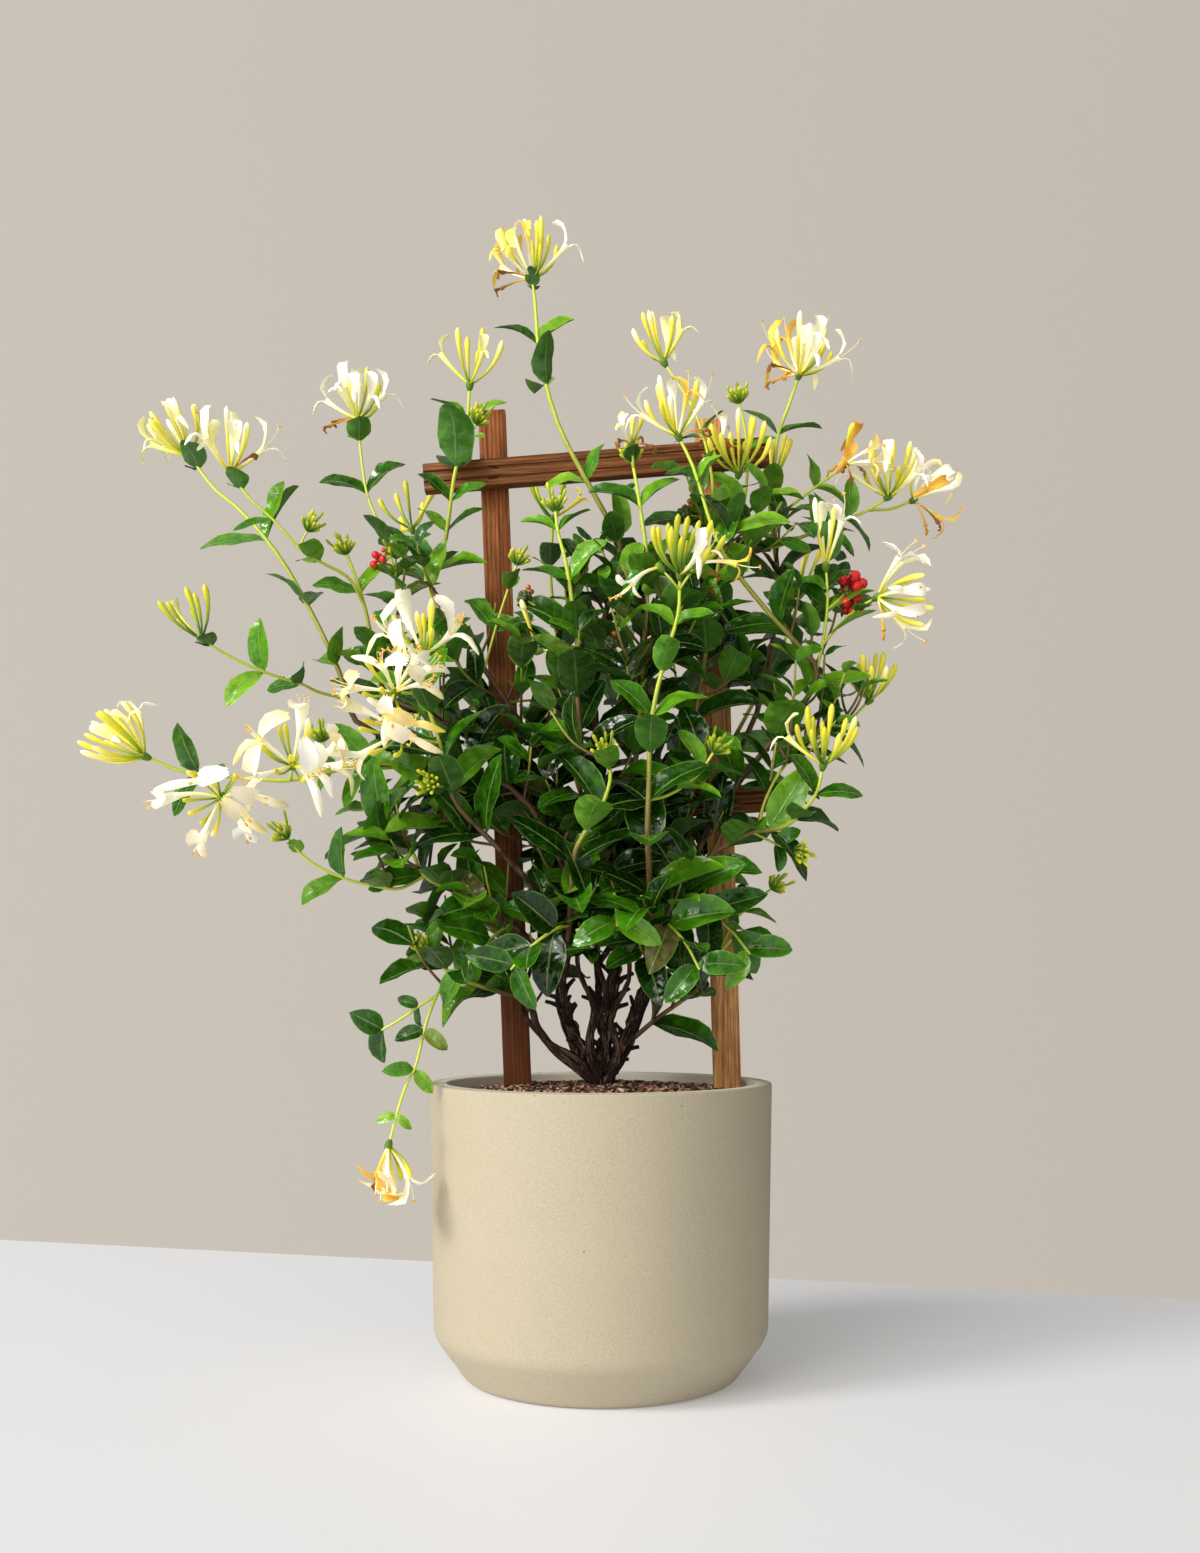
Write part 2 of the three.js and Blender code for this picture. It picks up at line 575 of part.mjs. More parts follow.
// A closed tapered stem that follows a line from one place to another. It has a ring of vertices at both ends
// and at each of the line's points between them.
function stemAlong(line, from, to, startRadius, endRadius, sides) {
  const places = [from];
  for (let place = Math.floor(from) + 1; place < to; place++) places.push(place);
  places.push(to);
  const steps = places.length - 1;
  const tube = new THREE.CylinderGeometry(1, 1, 1, sides, steps);
  const frames = [];
  let side = squareTo(FRONT, line.along(from));
  for (const place of places) {
    const along = line.along(place);
    side = squareTo(side, along);
    frames.push({ centre: line.at(place), side, third: side.clone().cross(along) });
  }
  const spot = tube.attributes.position;
  for (let i = 0; i < spot.count; i++) {
    const ring = Math.round((spot.getY(i) + 0.5) * steps);
    const { centre, side, third } = frames[ring];
    const radius = startRadius + ((endRadius - startRadius) * (places[ring] - from)) / (to - from);
    const point = centre.clone()
      .addScaledVector(side, spot.getX(i) * radius)
      .addScaledVector(third, spot.getZ(i) * radius);
    spot.setXYZ(i, point.x, point.y, point.z);
  }
  return solidOf(tube);
}

// A closed body drawn out along a curve. Each row is [place on the curve, half width, half thickness],
// and the body comes to a point at the curve's two ends. "across" is the direction of its width.
function drawnOut(curve, across, rows, sides) {
  const ball = new THREE.SphereGeometry(1, sides, rows.length + 1);
  const all = [[1, 0, 0], ...rows.toReversed(), [0, 0, 0]];
  const perRow = sides + 1;
  const spot = ball.attributes.position;
  for (let i = 0; i < spot.count; i++) {
    const row = Math.floor(i / perRow);
    const [place, width, thickness] = all[row];
    const turn = (i % perRow) * ((2 * Math.PI) / sides) - Math.PI / 2;
    const third = across.clone().cross(curve.getTangent(place));
    const point = curve.getPoint(place)
      .addScaledVector(across, Math.cos(turn + Math.PI) * width)
      .addScaledVector(third, Math.sin(turn) * thickness);
    spot.setXYZ(i, point.x, point.y, point.z);
  }
  return solidOf(ball);
}

// ---------------------------------------------------------------- stems

// The place just beyond the brown wood's flat end, where the green shoot takes over.
function shootStart(line, bark) {
  return bark + SHOOT_GAP / line.at(bark).distanceTo(line.at(bark + 1));
}

function radiusAt(stem, place) {
  return stem.from + (TIP_RADIUS - stem.from) * (place / (stem.points.length - 1));
}

function makeTrunk(extra) {
  const bottom = SOIL_CROWN - TRUNK_DEPTH - extra;
  const height = TRUNK_DEPTH + 6 + extra;
  const trunk = new THREE.CylinderGeometry(TRUNK_RADIUS + 2 + extra, TRUNK_RADIUS - 2 + extra, height, 8);
  return solidOf(trunk.rotateX(Math.PI / 2).translate(0, 0, bottom + height / 2));
}

function makeWood() {
  const parts = [makeTrunk(0)];
  for (const limb of limbs) {
    const line = lineThrough(limb.points);
    parts.push(stemAlong(line, 0, line.last, limb.from, limb.to, LIMB_SIDES));
  }
  for (const stem of stems) {
    const line = lineThrough(stem.points);
    parts.push(stemAlong(line, 0, stem.bark, stem.from, radiusAt(stem, stem.bark), BARK_SIDES));
  }
  return parts;
}

// The green parts of one stem: its own shoot beyond the brown wood, and the shoots that fork from it.
function makeShoots(stem) {
  const line = lineThrough(stem.points);
  const start = shootStart(line, stem.bark);
  const main = stemAlong(line, start, line.last, radiusAt(stem, start), TIP_RADIUS, SHOOT_SIDES);
  const forks = (stem.sides ?? []).map((side) => {
    const branch = lineThrough(side.points);
    return stemAlong(branch, 0, branch.last, TIP_RADIUS, TIP_RADIUS, SHOOT_SIDES);
  });
  return [main, ...forks];
}

// ---------------------------------------------------------------- flower heads

// The direction that stands at "lean" degrees from an axis, turned about it.
function leaning(axis, lean, turn) {
  const side = squareTo(Math.abs(axis.z) < 0.9 ? UP : FRONT, axis);
  const other = axis.clone().cross(side);
  const out = side.multiplyScalar(Math.cos(radians(turn))).addScaledVector(other, Math.sin(radians(turn)));
  return axis.clone().multiplyScalar(Math.cos(radians(lean))).addScaledVector(out, Math.sin(radians(lean)));
}

// A floret's middle line: it leaves the head outward and curves on, and a limp one sinks.
function floretLine(base, axis, lean, curl, turn, length, droop) {
  const middle = base.clone().addScaledVector(leaning(axis, lean, turn), length / 2);
  const onward = leaning(axis, lean * curl, turn).addScaledVector(UP, -droop).normalize();
  return new THREE.QuadraticBezierCurve3(base, middle, middle.clone().addScaledVector(onward, length / 2));
}

// A closed bud is a slender club.
function makeBud(line, radius) {
  const across = squareTo(FRONT, line.getTangent(0.5));
  return drawnOut(line, across, [[0.8, radius, radius]], 3);
}

// An open floret is a tube with a broad upper lip and a narrow lower lip, both curled back from its mouth.
function makeOpenFloret(line, axis, length) {
  const mouth = line.getPoint(1);
  const ahead = line.getTangent(1);
  const above = squareTo(axis, ahead);
  const across = squareTo(FRONT, line.getTangent(0.5));
  const tube = drawnOut(line, across, [[0.94, TUBE_RADIUS, TUBE_RADIUS]], 3);
  const spot = (forward, up) => mouth.clone()
    .addScaledVector(ahead, forward * length)
    .addScaledVector(above, up * length);
  const lips = new THREE.QuadraticBezierCurve3(spot(-0.08, -0.36), spot(0, 0), spot(0.06, 0.4));
  const blade = drawnOut(lips, ahead.clone().cross(above), [[0.3, 2.4, 1], [0.78, 5.4, 1]], 3);
  return tube.add(blade);
}

function makeHead(tip, along, bloom, key) {
  const start = tip.clone().addScaledVector(along, SHOOT_GAP * 0.8);
  const end = start.clone().addScaledVector(along, 2.2 * CORE_RADIUS);
  const rows = [[0.3, CORE_RADIUS * 0.9, CORE_RADIUS * 0.9], [0.7, CORE_RADIUS, CORE_RADIUS]];
  const parts = [drawnOut(new THREE.LineCurve3(start, end), squareTo(FRONT, along), rows, 4)];
  const base = tip.clone().addScaledVector(along, SHOOT_GAP + CORE_RADIUS * 1.1);
  const axis = vector(bloom.lean).normalize();
  const count = bloom.buds + bloom.open;
  for (let i = 0; i < count; i++) {
    const lean = bloom.spread * Math.sqrt((i + 0.6) / count);
    const turn = GOLDEN_ANGLE * i + 360 * chance(key);
    const length = bloom.size * (0.86 + 0.14 * chance(key + i));
    if (i < bloom.buds) {
      parts.push(makeBud(floretLine(base, axis, lean, 0.5, turn, length, 0), BUD_RADIUS));
    } else {
      const line = floretLine(base, axis, lean, 0.8, turn, length * 0.72, bloom.droop ?? 0);
      parts.push(makeOpenFloret(line, axis, length * 0.62));
    }
  }
  return joined(parts);
}

// A small green cluster of young buds, fused to the shoot's own tip.
function makeYoungBuds(tip, along, count, key) {
  const parts = [];
  for (let i = 0; i < count; i++) {
    const base = tip.clone().addScaledVector(along, -1);
    const lean = YOUNG_BUD_LEAN * Math.sqrt((i + 0.3) / count);
    const turn = GOLDEN_ANGLE * i + 360 * chance(key);
    const length = YOUNG_BUD_LENGTH + 6 * chance(key + i);
    parts.push(makeBud(floretLine(base, along, lean, 0.5, turn, length, 0), YOUNG_BUD_RADIUS));
  }
  return parts;
}

// ---------------------------------------------------------------- leaves

// A leaf's middle line, arched over its root and drooping at its tip, with the direction of its width.
function leafLine(line, place, length, turn) {
  const root = line.inside(place);
  const along = line.along(place);
  const right = along.clone().cross(FRONT).normalize();
  const toward = right.clone().cross(along);
  const spread = radians(LEAF_SPREAD + 16 * (chance(place + length) - 0.5));
  const out = right.multiplyScalar(Math.cos(radians(turn))).addScaledVector(toward, Math.sin(radians(turn)));
  const axis = along.clone().multiplyScalar(Math.cos(spread)).addScaledVector(out, Math.sin(spread));
  const light = root.y > 40 ? new THREE.Vector3(root.x, root.y, 0).normalize() : FRONT;
  const sky = along.clone().multiplyScalar(0.4).addScaledVector(UP, 0.5).addScaledVector(light, 0.5);
  const face = squareTo(sky, axis);
  const middle = root.clone().addScaledVector(axis, length / 2).addScaledVector(face, LEAF_ARCH * length);
  const tip = root.clone().addScaledVector(axis, length).addScaledVector(face, -LEAF_DROOP * length);
  return { curve: new THREE.QuadraticBezierCurve3(root, middle, tip), across: axis.cross(face).normalize() };
}

function makeLeaf({ curve, across }, length, broad, extra) {
  const width = length * (broad ? ROUND_LEAF_WIDTH : LEAF_WIDTH) + extra;
  const keel = LEAF_KEEL + extra;
  return drawnOut(curve, across, [[0.38, width, keel], [0.74, width * 0.74, keel]], 3);
}

// Everything that is in place, so that a leaf can find its way past it.
function keep(owner, solid, stem) {
  placed.push({ owner, solid, stem, box: solid.boundingBox() });
}

function boxesMeet(a, b) {
  return [0, 1, 2].every((k) => a.min[k] <= b.max[k] && b.min[k] <= a.max[k]);
}

// Whether a leaf runs into anything other than the shoots that it grows on.
function crosses(leaf, owner) {
  const box = leaf.boundingBox();
  const others = placed.filter((other) => !(other.stem && other.owner === owner));
  return others.some((other) => boxesMeet(box, other.box) && leaf.intersect(other.solid).volume() > 0.001);
}

// The first way of turning a leaf that is clear of all else, or nothing where the bush is full.
function growLeaf(owner, line, [place, length, turn, broad]) {
  for (const [offset, share] of LEAF_TRIES) {
    const size = length * share;
    const shape = leafLine(line, place, size, turn + offset);
    if (crosses(makeLeaf(shape, size, broad, LEAF_ROOM), owner)) continue;
    const leaf = makeLeaf(shape, size, broad, 0);
    keep(owner, leaf, false);
    return [leaf];
  }
  return [];
}

// Two leaves stand opposite each other at every place of the table.
function growPairs(owner, points, pairs) {
  const line = lineThrough(points);
  const grown = [];
  for (const [place, length, turn, broad] of pairs) {
    for (const half of [0, 180]) {
      const own = length * (1 - 0.12 * chance(place + half));
      grown.push(...growLeaf(owner, line, [place, own, turn + half, broad]));
    }
  }
  return grown;
}

// ---------------------------------------------------------------- berries

// A bunch of berries crowded round a small heart that stands on a shoot's tip.
function makeBerries(tip, along, count) {
  const start = tip.clone().addScaledVector(along, SHOOT_GAP * 0.8);
  const centre = start.clone().addScaledVector(along, 1.5 * BERRY_RADIUS);
  const end = start.clone().addScaledVector(along, 3 * BERRY_RADIUS);
  const rows = [[0.5, 1.4 * BERRY_RADIUS, 1.4 * BERRY_RADIUS]];
  const parts = [drawnOut(new THREE.LineCurve3(start, end), squareTo(FRONT, along), rows, 5)];
  for (let i = 0; i < count; i++) {
    const direction = leaning(along, BERRY_SPREAD * Math.sqrt((i + 0.3) / count), GOLDEN_ANGLE * i);
    const spot = centre.clone().addScaledVector(direction, 1.6 * BERRY_RADIUS);
    parts.push(solidOf(new THREE.SphereGeometry(BERRY_RADIUS, 5, 3).translate(...spot)));
  }
  return joined(parts);
}

// ---------------------------------------------------------------- assembly

const feet = [
  upright(LEFT_UPRIGHT, 2 * CLEARANCE),
  upright(RIGHT_UPRIGHT, 2 * CLEARANCE),
  makeTrunk(1.5 * CLEARANCE),
];
const fixed = [
  ["pot", makePot(), COLOURS.pot, 0.8],
  ["soil", makeSoil(feet), COLOURS.soil, 1],
  ["left_upright", upright(LEFT_UPRIGHT, 0), COLOURS.trellis, 0.7],
  ["right_upright", upright(RIGHT_UPRIGHT, 0), COLOURS.trellis, 0.7],
  ["top_crossbar", lath(TOP_CROSSBAR.left, TOP_CROSSBAR.right, CROSSBAR_BACK, 0), COLOURS.trellis, 0.7],
  ["lower_crossbar", lath(LOWER_CROSSBAR.left, LOWER_CROSSBAR.right, CROSSBAR_BACK, 0), COLOURS.trellis, 0.7],
];
for (const [name, solid, colour, roughness] of fixed) {
  addMesh(name, solid, colour, roughness);
  keep(name, solid, false);
}

const wood = makeWood();
wood.forEach((part) => keep("woody_stems", part, true));
addMesh("woody_stems", joined(wood), COLOURS.bark, 0.9);

// Each shoot and each head is set out before any leaf, so that the leaves find their way round them.
const shoots = stems.map((stem, number) => {
  const name = stem.name + "_shoot";
  const parts = makeShoots(stem);
  parts.forEach((part) => keep(name, part, true));
  [stem, ...(stem.sides ?? [])].forEach((branch, fork) => {
    const line = lineThrough(branch.points);
    const [tip, along, key] = [line.at(line.last), line.along(line.last), number + fork / 10];
    if (branch.bloom) {
      const head = makeHead(tip, along, branch.bloom, key);
      keep(branch.bloom.name, head, false);
      addMesh(branch.bloom.name, head, COLOURS.bloom, 0.6);
    } else if (branch.berries) {
      const bunch = makeBerries(tip, along, branch.berries);
      keep("berries", bunch, false);
      addMesh("berries", bunch, COLOURS.berry, 0.3);
    } else if (branch.buds) {
      const buds = makeYoungBuds(tip, along, branch.buds, key);
      buds.forEach((bud) => keep(name, bud, false));
      parts.push(...buds);
    }
  });
  return { name, stem, parts };
});

for (const { name, stem, parts } of shoots) {
  for (const branch of [stem, ...(stem.sides ?? [])]) {
    parts.push(...growPairs(name, branch.points, branch.pairs));
  }
  addMesh(name, joined(parts), COLOURS.leaf, 0.45);
}

export default plant;
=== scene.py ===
# A potted honeysuckle on a small wooden trellis, in metres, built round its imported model.
import math

import bpy
import numpy as np
from mathutils import Matrix, Vector
from mathutils.kdtree import KDTree


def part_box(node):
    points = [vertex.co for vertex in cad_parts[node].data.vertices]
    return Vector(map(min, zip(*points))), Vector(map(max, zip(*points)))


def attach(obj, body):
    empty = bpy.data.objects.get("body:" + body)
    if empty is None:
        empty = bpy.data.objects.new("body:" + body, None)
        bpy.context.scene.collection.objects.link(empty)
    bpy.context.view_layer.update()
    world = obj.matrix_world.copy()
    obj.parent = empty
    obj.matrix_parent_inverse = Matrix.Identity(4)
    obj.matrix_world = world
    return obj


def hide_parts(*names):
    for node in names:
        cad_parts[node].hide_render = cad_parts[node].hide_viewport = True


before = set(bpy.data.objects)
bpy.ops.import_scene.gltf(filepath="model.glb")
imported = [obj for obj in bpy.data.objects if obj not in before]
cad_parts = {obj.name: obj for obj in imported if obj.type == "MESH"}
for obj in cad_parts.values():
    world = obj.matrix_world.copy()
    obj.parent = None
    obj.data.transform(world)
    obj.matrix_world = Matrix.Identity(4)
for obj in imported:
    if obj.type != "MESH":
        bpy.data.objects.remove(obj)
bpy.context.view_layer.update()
bpy.ops.object.select_all(action="DESELECT")

# ---------------------------------------------------------------- studio
# A pale table top stands before a warm grey wall. One soft window on the left gives the shape, and two wide
# glows of the room open the shade. The camera looks level, with its lens raised over the plant.

CAMERA_PLACE = (0, -1.25, 0.316)
CAMERA_LENS = 36.22
CAMERA_SHIFT = (-0.0006, 0.1296)
WINDOW_PLACE = Vector((-3.94, -2.09, 3.08))
WINDOW_TARGET = Vector((0, 0, 0.4))
WINDOW_SIZE = 1.4
WINDOW_POWER = 148
TABLE_EDGE = Vector((-0.07, 0.459, 0))
TABLE_TURN = math.radians(-15)
TABLE_SIZE = (7, 4, 0.06)
# The glows of the room: the way to each, how narrow it is and how bright.
ROOM_GLOWS = [((-0.58, -0.66, 0.470), 20.0, 12.6), ((0.0, -0.98, 0.17), 6.0, 1.5)]

camera_lens = bpy.data.cameras.new("camera")
camera_lens.sensor_width = 36
camera_lens.lens = CAMERA_LENS
camera_lens.shift_x, camera_lens.shift_y = CAMERA_SHIFT
camera = bpy.data.objects.new("camera", camera_lens)
camera.location = CAMERA_PLACE
camera.rotation_euler = (math.radians(90), 0, 0)
bpy.context.scene.collection.objects.link(camera)
bpy.context.scene.camera = camera
bpy.context.scene.view_settings.view_transform = "Standard"

window_light = bpy.data.lights.new("left_window", "AREA")
window_light.size = WINDOW_SIZE
window_light.energy = WINDOW_POWER
window_light.color = (1, 0.975, 0.94)
window = bpy.data.objects.new("left_window", window_light)
window.location = WINDOW_PLACE
window.rotation_euler = (WINDOW_TARGET - WINDOW_PLACE).to_track_quat("-Z", "Y").to_euler()
bpy.context.scene.collection.objects.link(window)


def new_finish(name, roughness, **plain):
    """A new material with the plain numbers of its shader set. An underscore stands for a space."""
    finish = bpy.data.materials.new(name)
    finish.use_nodes = True
    shader = finish.node_tree.nodes["Principled BSDF"]
    shader.inputs["Roughness"].default_value = roughness
    for socket, value in plain.items():
        shader.inputs[socket.replace("_", " ")].default_value = value
    return finish


def add_node(kind, settings=None, tree=None, **inputs):
    """Adds a node and feeds its sockets, each with a plain value or with another node's output.

    A node that another one feeds goes into the same tree. A node that starts a pattern is told its tree.
    """
    fed = [value for value in inputs.values() if isinstance(value, bpy.types.NodeSocket)]
    tree = tree or fed[0].id_data
    node = tree.nodes.new("ShaderNode" + kind)
    for setting, value in (settings or {}).items():
        setattr(node, setting, value)
    for name, value in inputs.items():
        socket = node.inputs[int(name[1:]) if name[1:].isdigit() else name.replace("_", " ")]
        if isinstance(value, bpy.types.NodeSocket):
            tree.links.new(value, socket)
        else:
            socket.default_value = value
    return node


def feed_shader(socket, output):
    tree = output.id_data
    tree.links.new(output, tree.nodes["Principled BSDF"].inputs[socket])


def object_place(finish, scale=(1, 1, 1), turn=(0, 0, 0), shift=(0, 0, 0)):
    """The point's own place on the object, turned and stretched for a pattern."""
    place = add_node("TexCoord", tree=finish.node_tree).outputs["Object"]
    return add_node("Mapping", Vector=place, Scale=scale, Rotation=turn, Location=shift).outputs[0]


def noise(place, scale, detail=2.0, roughness=0.5):
    """Soft clouds between 0 and 1, of the given number to the metre."""
    return add_node("TexNoise", Vector=place, Scale=scale, Detail=detail, Roughness=roughness).outputs[0]


def blend_colours(factor, first, second):
    return add_node("Mix", {"data_type": "RGBA"}, n0=factor, n6=first, n7=second).outputs[2]


def reckon(operation, first, second=0.0, third=0.0):
    return add_node("Math", {"operation": operation}, n0=first, n1=second, n2=third).outputs[0]


def stretch_range(value, low, high, to_low=0.0, to_high=1.0):
    return add_node("MapRange", Value=value, From_Min=low, From_Max=high,
                    To_Min=to_low, To_Max=to_high).outputs[0]


def colour_steps(value, steps):
    """A colour for each value, run smoothly between the given (value, colour) steps."""
    node = add_node("ValToRGB", Fac=value)
    band = node.color_ramp.elements
    while len(band) < len(steps):
        band.new(0.5)
    for element, (place, colour) in zip(band, steps):
        element.position = place
    for element, (place, colour) in zip(band, steps):
        element.color = (*colour, 1)
    return node.outputs["Color"]


def add_bump(height, distance, strength=1.0):
    feed_shader("Normal", add_node("Bump", Height=height, Distance=distance, Strength=strength).outputs[0])


world = bpy.data.worlds.new("studio_air")
bpy.context.scene.world = world
world.use_nodes = True
air = world.node_tree
heading = add_node("TexCoord", tree=air).outputs["Generated"]
sideways = add_node("SeparateXYZ", Vector=heading).outputs[0]
# The wall seen by the camera is painted lighter on the left, towards the window, and darker on the right:
# painted light falling off across it.
wall_with_painted_light = blend_colours(
    stretch_range(sideways, -0.4, 0.4), (0.605, 0.556, 0.492, 1), (0.54, 0.492, 0.424, 1))
tooth = add_node("TexWhiteNoise", Vector=heading).outputs["Value"]
wall_grain = reckon("MULTIPLY_ADD", tooth, 0.3, 0.85)
seen = add_node("LightPath", tree=air).outputs["Is Camera Ray"]
air_colour = blend_colours(seen, (0.575, 0.56, 0.535, 1), wall_with_painted_light)
air.links.new(air_colour, air.nodes["Background"].inputs["Color"])


def facing(way):
    """How far a heading faces a way: 1 right at it, -1 away from it."""
    return add_node("VectorMath", {"operation": "DOT_PRODUCT"}, n0=heading, n1=way).outputs["Value"]


room_light = stretch_range(facing((-0.32, -0.45, 0.83)), -1, 1, 0.12, 0.68)
for way, tightness, glow in ROOM_GLOWS:
    lobe = reckon("POWER", reckon("MAXIMUM", facing(way), 0.0), tightness)
    room_light = reckon("MULTIPLY_ADD", lobe, glow, room_light)
air_strength = add_node("Mix", {"data_type": "FLOAT"}, n0=seen, n2=room_light, n3=wall_grain).outputs[0]
air.links.new(air_strength, air.nodes["Background"].inputs["Strength"])

bpy.ops.mesh.primitive_cube_add(size=1)
table_top = bpy.context.object
table_top.name = "table_top"
table_top.scale = TABLE_SIZE
bpy.ops.object.transform_apply(location=False, rotation=False, scale=True)
table_top.rotation_euler.z = TABLE_TURN
back = Matrix.Rotation(TABLE_TURN, 4, "Z") @ Vector((0, TABLE_SIZE[1] / 2, 0))
table_top.location = TABLE_EDGE - back - Vector((0, 0, TABLE_SIZE[2] / 2))
bpy.ops.object.transform_apply(location=True, rotation=True, scale=False)
# The table glows faintly in a warm white: painted light that makes the shadows cast on it lighter.
table_finish = new_finish("glowing_table_paint", 0.55, Emission_Color=(1, 0.98, 0.94, 1), Emission_Strength=0.16)
table_mottle = noise(object_place(table_finish), 2.0)
feed_shader("Base Color", blend_colours(table_mottle, (0.68, 0.685, 0.72, 1), (0.70, 0.705, 0.74, 1)))
table_top.data.materials.append(table_finish)

# ---------------------------------------------------------------- pot
# A round planter cast in one piece from stone and resin: a straight wall over a chamfered foot, sanded to a
# matt sandy skin with a few pinholes, and pierced by three drain holes.

POT_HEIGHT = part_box("pot")[1].z
RIM_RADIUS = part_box("pot")[1].x
POT_WALL = 0.014
POT_FLOOR = 0.016
POT_ROUND = 0.0022
POT_DRAFT = 0.003
FOOT_RADIUS = 0.108
FOOT_ROUND = 0.006
CHAMFER_RADIUS = 0.133
CHAMFER_HEIGHT = 0.035
CHAMFER_ROUND = 0.007
DRAIN_COUNT = 3
DRAIN_RADIUS = 0.006
DRAIN_RING = 0.050


def rounded_corner(before, corner, after, size, steps=4):
    """The points of a corner of an outline that is rounded off over the given size."""
    before, corner, after = Vector(before), Vector(corner), Vector(after)
    start = corner + (before - corner).normalized() * size
    end = corner + (after - corner).normalized() * size
    places = [step / steps for step in range(steps + 1)]
    return [tuple(start * (1 - t) ** 2 + corner * (2 * t * (1 - t)) + end * t ** 2) for t in places]


def turn_on_wheel(name, outline, sides):
    """A closed round body: a disc at the outline's first point is drawn out ring by ring to its last."""
    (radius, height), *rest = outline
    bpy.ops.mesh.primitive_circle_add(
        vertices=sides, radius=radius, fill_type="NGON", location=(0, 0, height))
    body = bpy.context.object
    body.name = name
    bpy.ops.object.transform_apply(location=True)
    bpy.ops.object.mode_set(mode="EDIT")
    bpy.ops.mesh.select_all(action="SELECT")
    for next_radius, next_height in rest:
        growth = next_radius / radius
        bpy.ops.mesh.extrude_region_move(TRANSFORM_OT_translate={"value": (0, 0, next_height - height)})
        bpy.ops.transform.resize(value=(growth, growth, 1), center_override=(0, 0, 0))
        radius, height = next_radius, next_height
    bpy.ops.mesh.select_all(action="SELECT")
    bpy.ops.mesh.normals_make_consistent(inside=False)
    bpy.ops.object.mode_set(mode="OBJECT")
    return body


def finish_piece(piece, finish, smooth_angle=40):
    """Gives a finished piece its material, smooth shading, material slot and body."""
    bpy.ops.object.select_all(action="DESELECT")
    piece.select_set(True)
    bpy.context.view_layer.objects.active = piece
    bpy.ops.object.shade_smooth_by_angle(angle=math.radians(smooth_angle))
    piece.data.materials.clear()
    piece.data.materials.append(finish)
    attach(piece, "root")


def cut_out(piece, tool):
    """Cuts a tool body out of a piece, for good."""
    cut = piece.modifiers.new("cut", "BOOLEAN")
    cut.operation = "DIFFERENCE"
    cut.object = tool
    bpy.ops.object.select_all(action="DESELECT")
    bpy.context.view_layer.objects.active = piece
    piece.select_set(True)
    bpy.ops.object.modifier_apply(modifier="cut")
    bpy.data.objects.remove(tool)


inner_radius = RIM_RADIUS - POT_WALL
foot = (FOOT_RADIUS, 0)
shoulder = (CHAMFER_RADIUS, CHAMFER_HEIGHT)
outer_rim = (RIM_RADIUS, POT_HEIGHT)
inner_rim = (inner_radius, POT_HEIGHT)
inner_foot = (inner_radius - POT_DRAFT, CHAMFER_HEIGHT + 0.006)
inner_floor = (FOOT_RADIUS - POT_WALL, POT_FLOOR)
pot_outline = [
    (0.04, 0),
    *rounded_corner((0.04, 0), foot, shoulder, FOOT_ROUND),
    *rounded_corner(foot, shoulder, outer_rim, CHAMFER_ROUND),
    *rounded_corner(shoulder, outer_rim, inner_rim, POT_ROUND),
    *rounded_corner(outer_rim, inner_rim, inner_foot, POT_ROUND),
    *rounded_corner(inner_rim, inner_foot, inner_floor, FOOT_ROUND),
    inner_floor,
    (0.03, POT_FLOOR),
]
pot = turn_on_wheel("stone_pot", pot_outline, 144)
for hole in range(DRAIN_COUNT):
    hole_angle = math.radians(90 + 360 / DRAIN_COUNT * hole)
    hole_place = (DRAIN_RING * math.cos(hole_angle), DRAIN_RING * math.sin(hole_angle), 0)
    bpy.ops.mesh.primitive_cylinder_add(
        vertices=32, radius=DRAIN_RADIUS, depth=3 * POT_FLOOR, location=hole_place)
    cut_out(pot, bpy.context.object)

pot_finish = new_finish("cast_stone", 0.72, Specular_IOR_Level=0.35)
pot_place = object_place(pot_finish)
sand = noise(pot_place, 1100.0, 3.0, 0.7)
cloud = noise(pot_place, 14.0, 4.0)
grains = add_node("TexVoronoi", Vector=pot_place, Scale=620.0).outputs["Distance"]
pits = add_node("TexVoronoi", Vector=pot_place, Scale=85.0)
sand_colour = colour_steps(sand, [
    (0.30, (0.362, 0.316, 0.222)), (0.50, (0.450, 0.398, 0.288)), (0.70, (0.522, 0.467, 0.348))])
clouded = blend_colours(stretch_range(cloud, 0.3, 0.7, 0.0, 0.16), sand_colour, (0.50, 0.42, 0.28, 1))
speckled = blend_colours(stretch_range(grains, 0.10, 0.16, 0.30, 0.0), clouded, (0.30, 0.25, 0.17, 1))
# The pinholes are painted dark inside: painted shade in them.
pit_draw = add_node("SeparateColor", Color=pits.outputs["Color"]).outputs[0]
pit_core = stretch_range(pits.outputs["Distance"], 0.05, 0.09, 1.0, 0.0)
pit_mark = reckon("MULTIPLY", reckon("GREATER_THAN", pit_draw, 0.975), pit_core)
pits_painted_shade = blend_colours(reckon("MULTIPLY", pit_mark, 0.6), speckled, (0.16, 0.13, 0.09, 1))
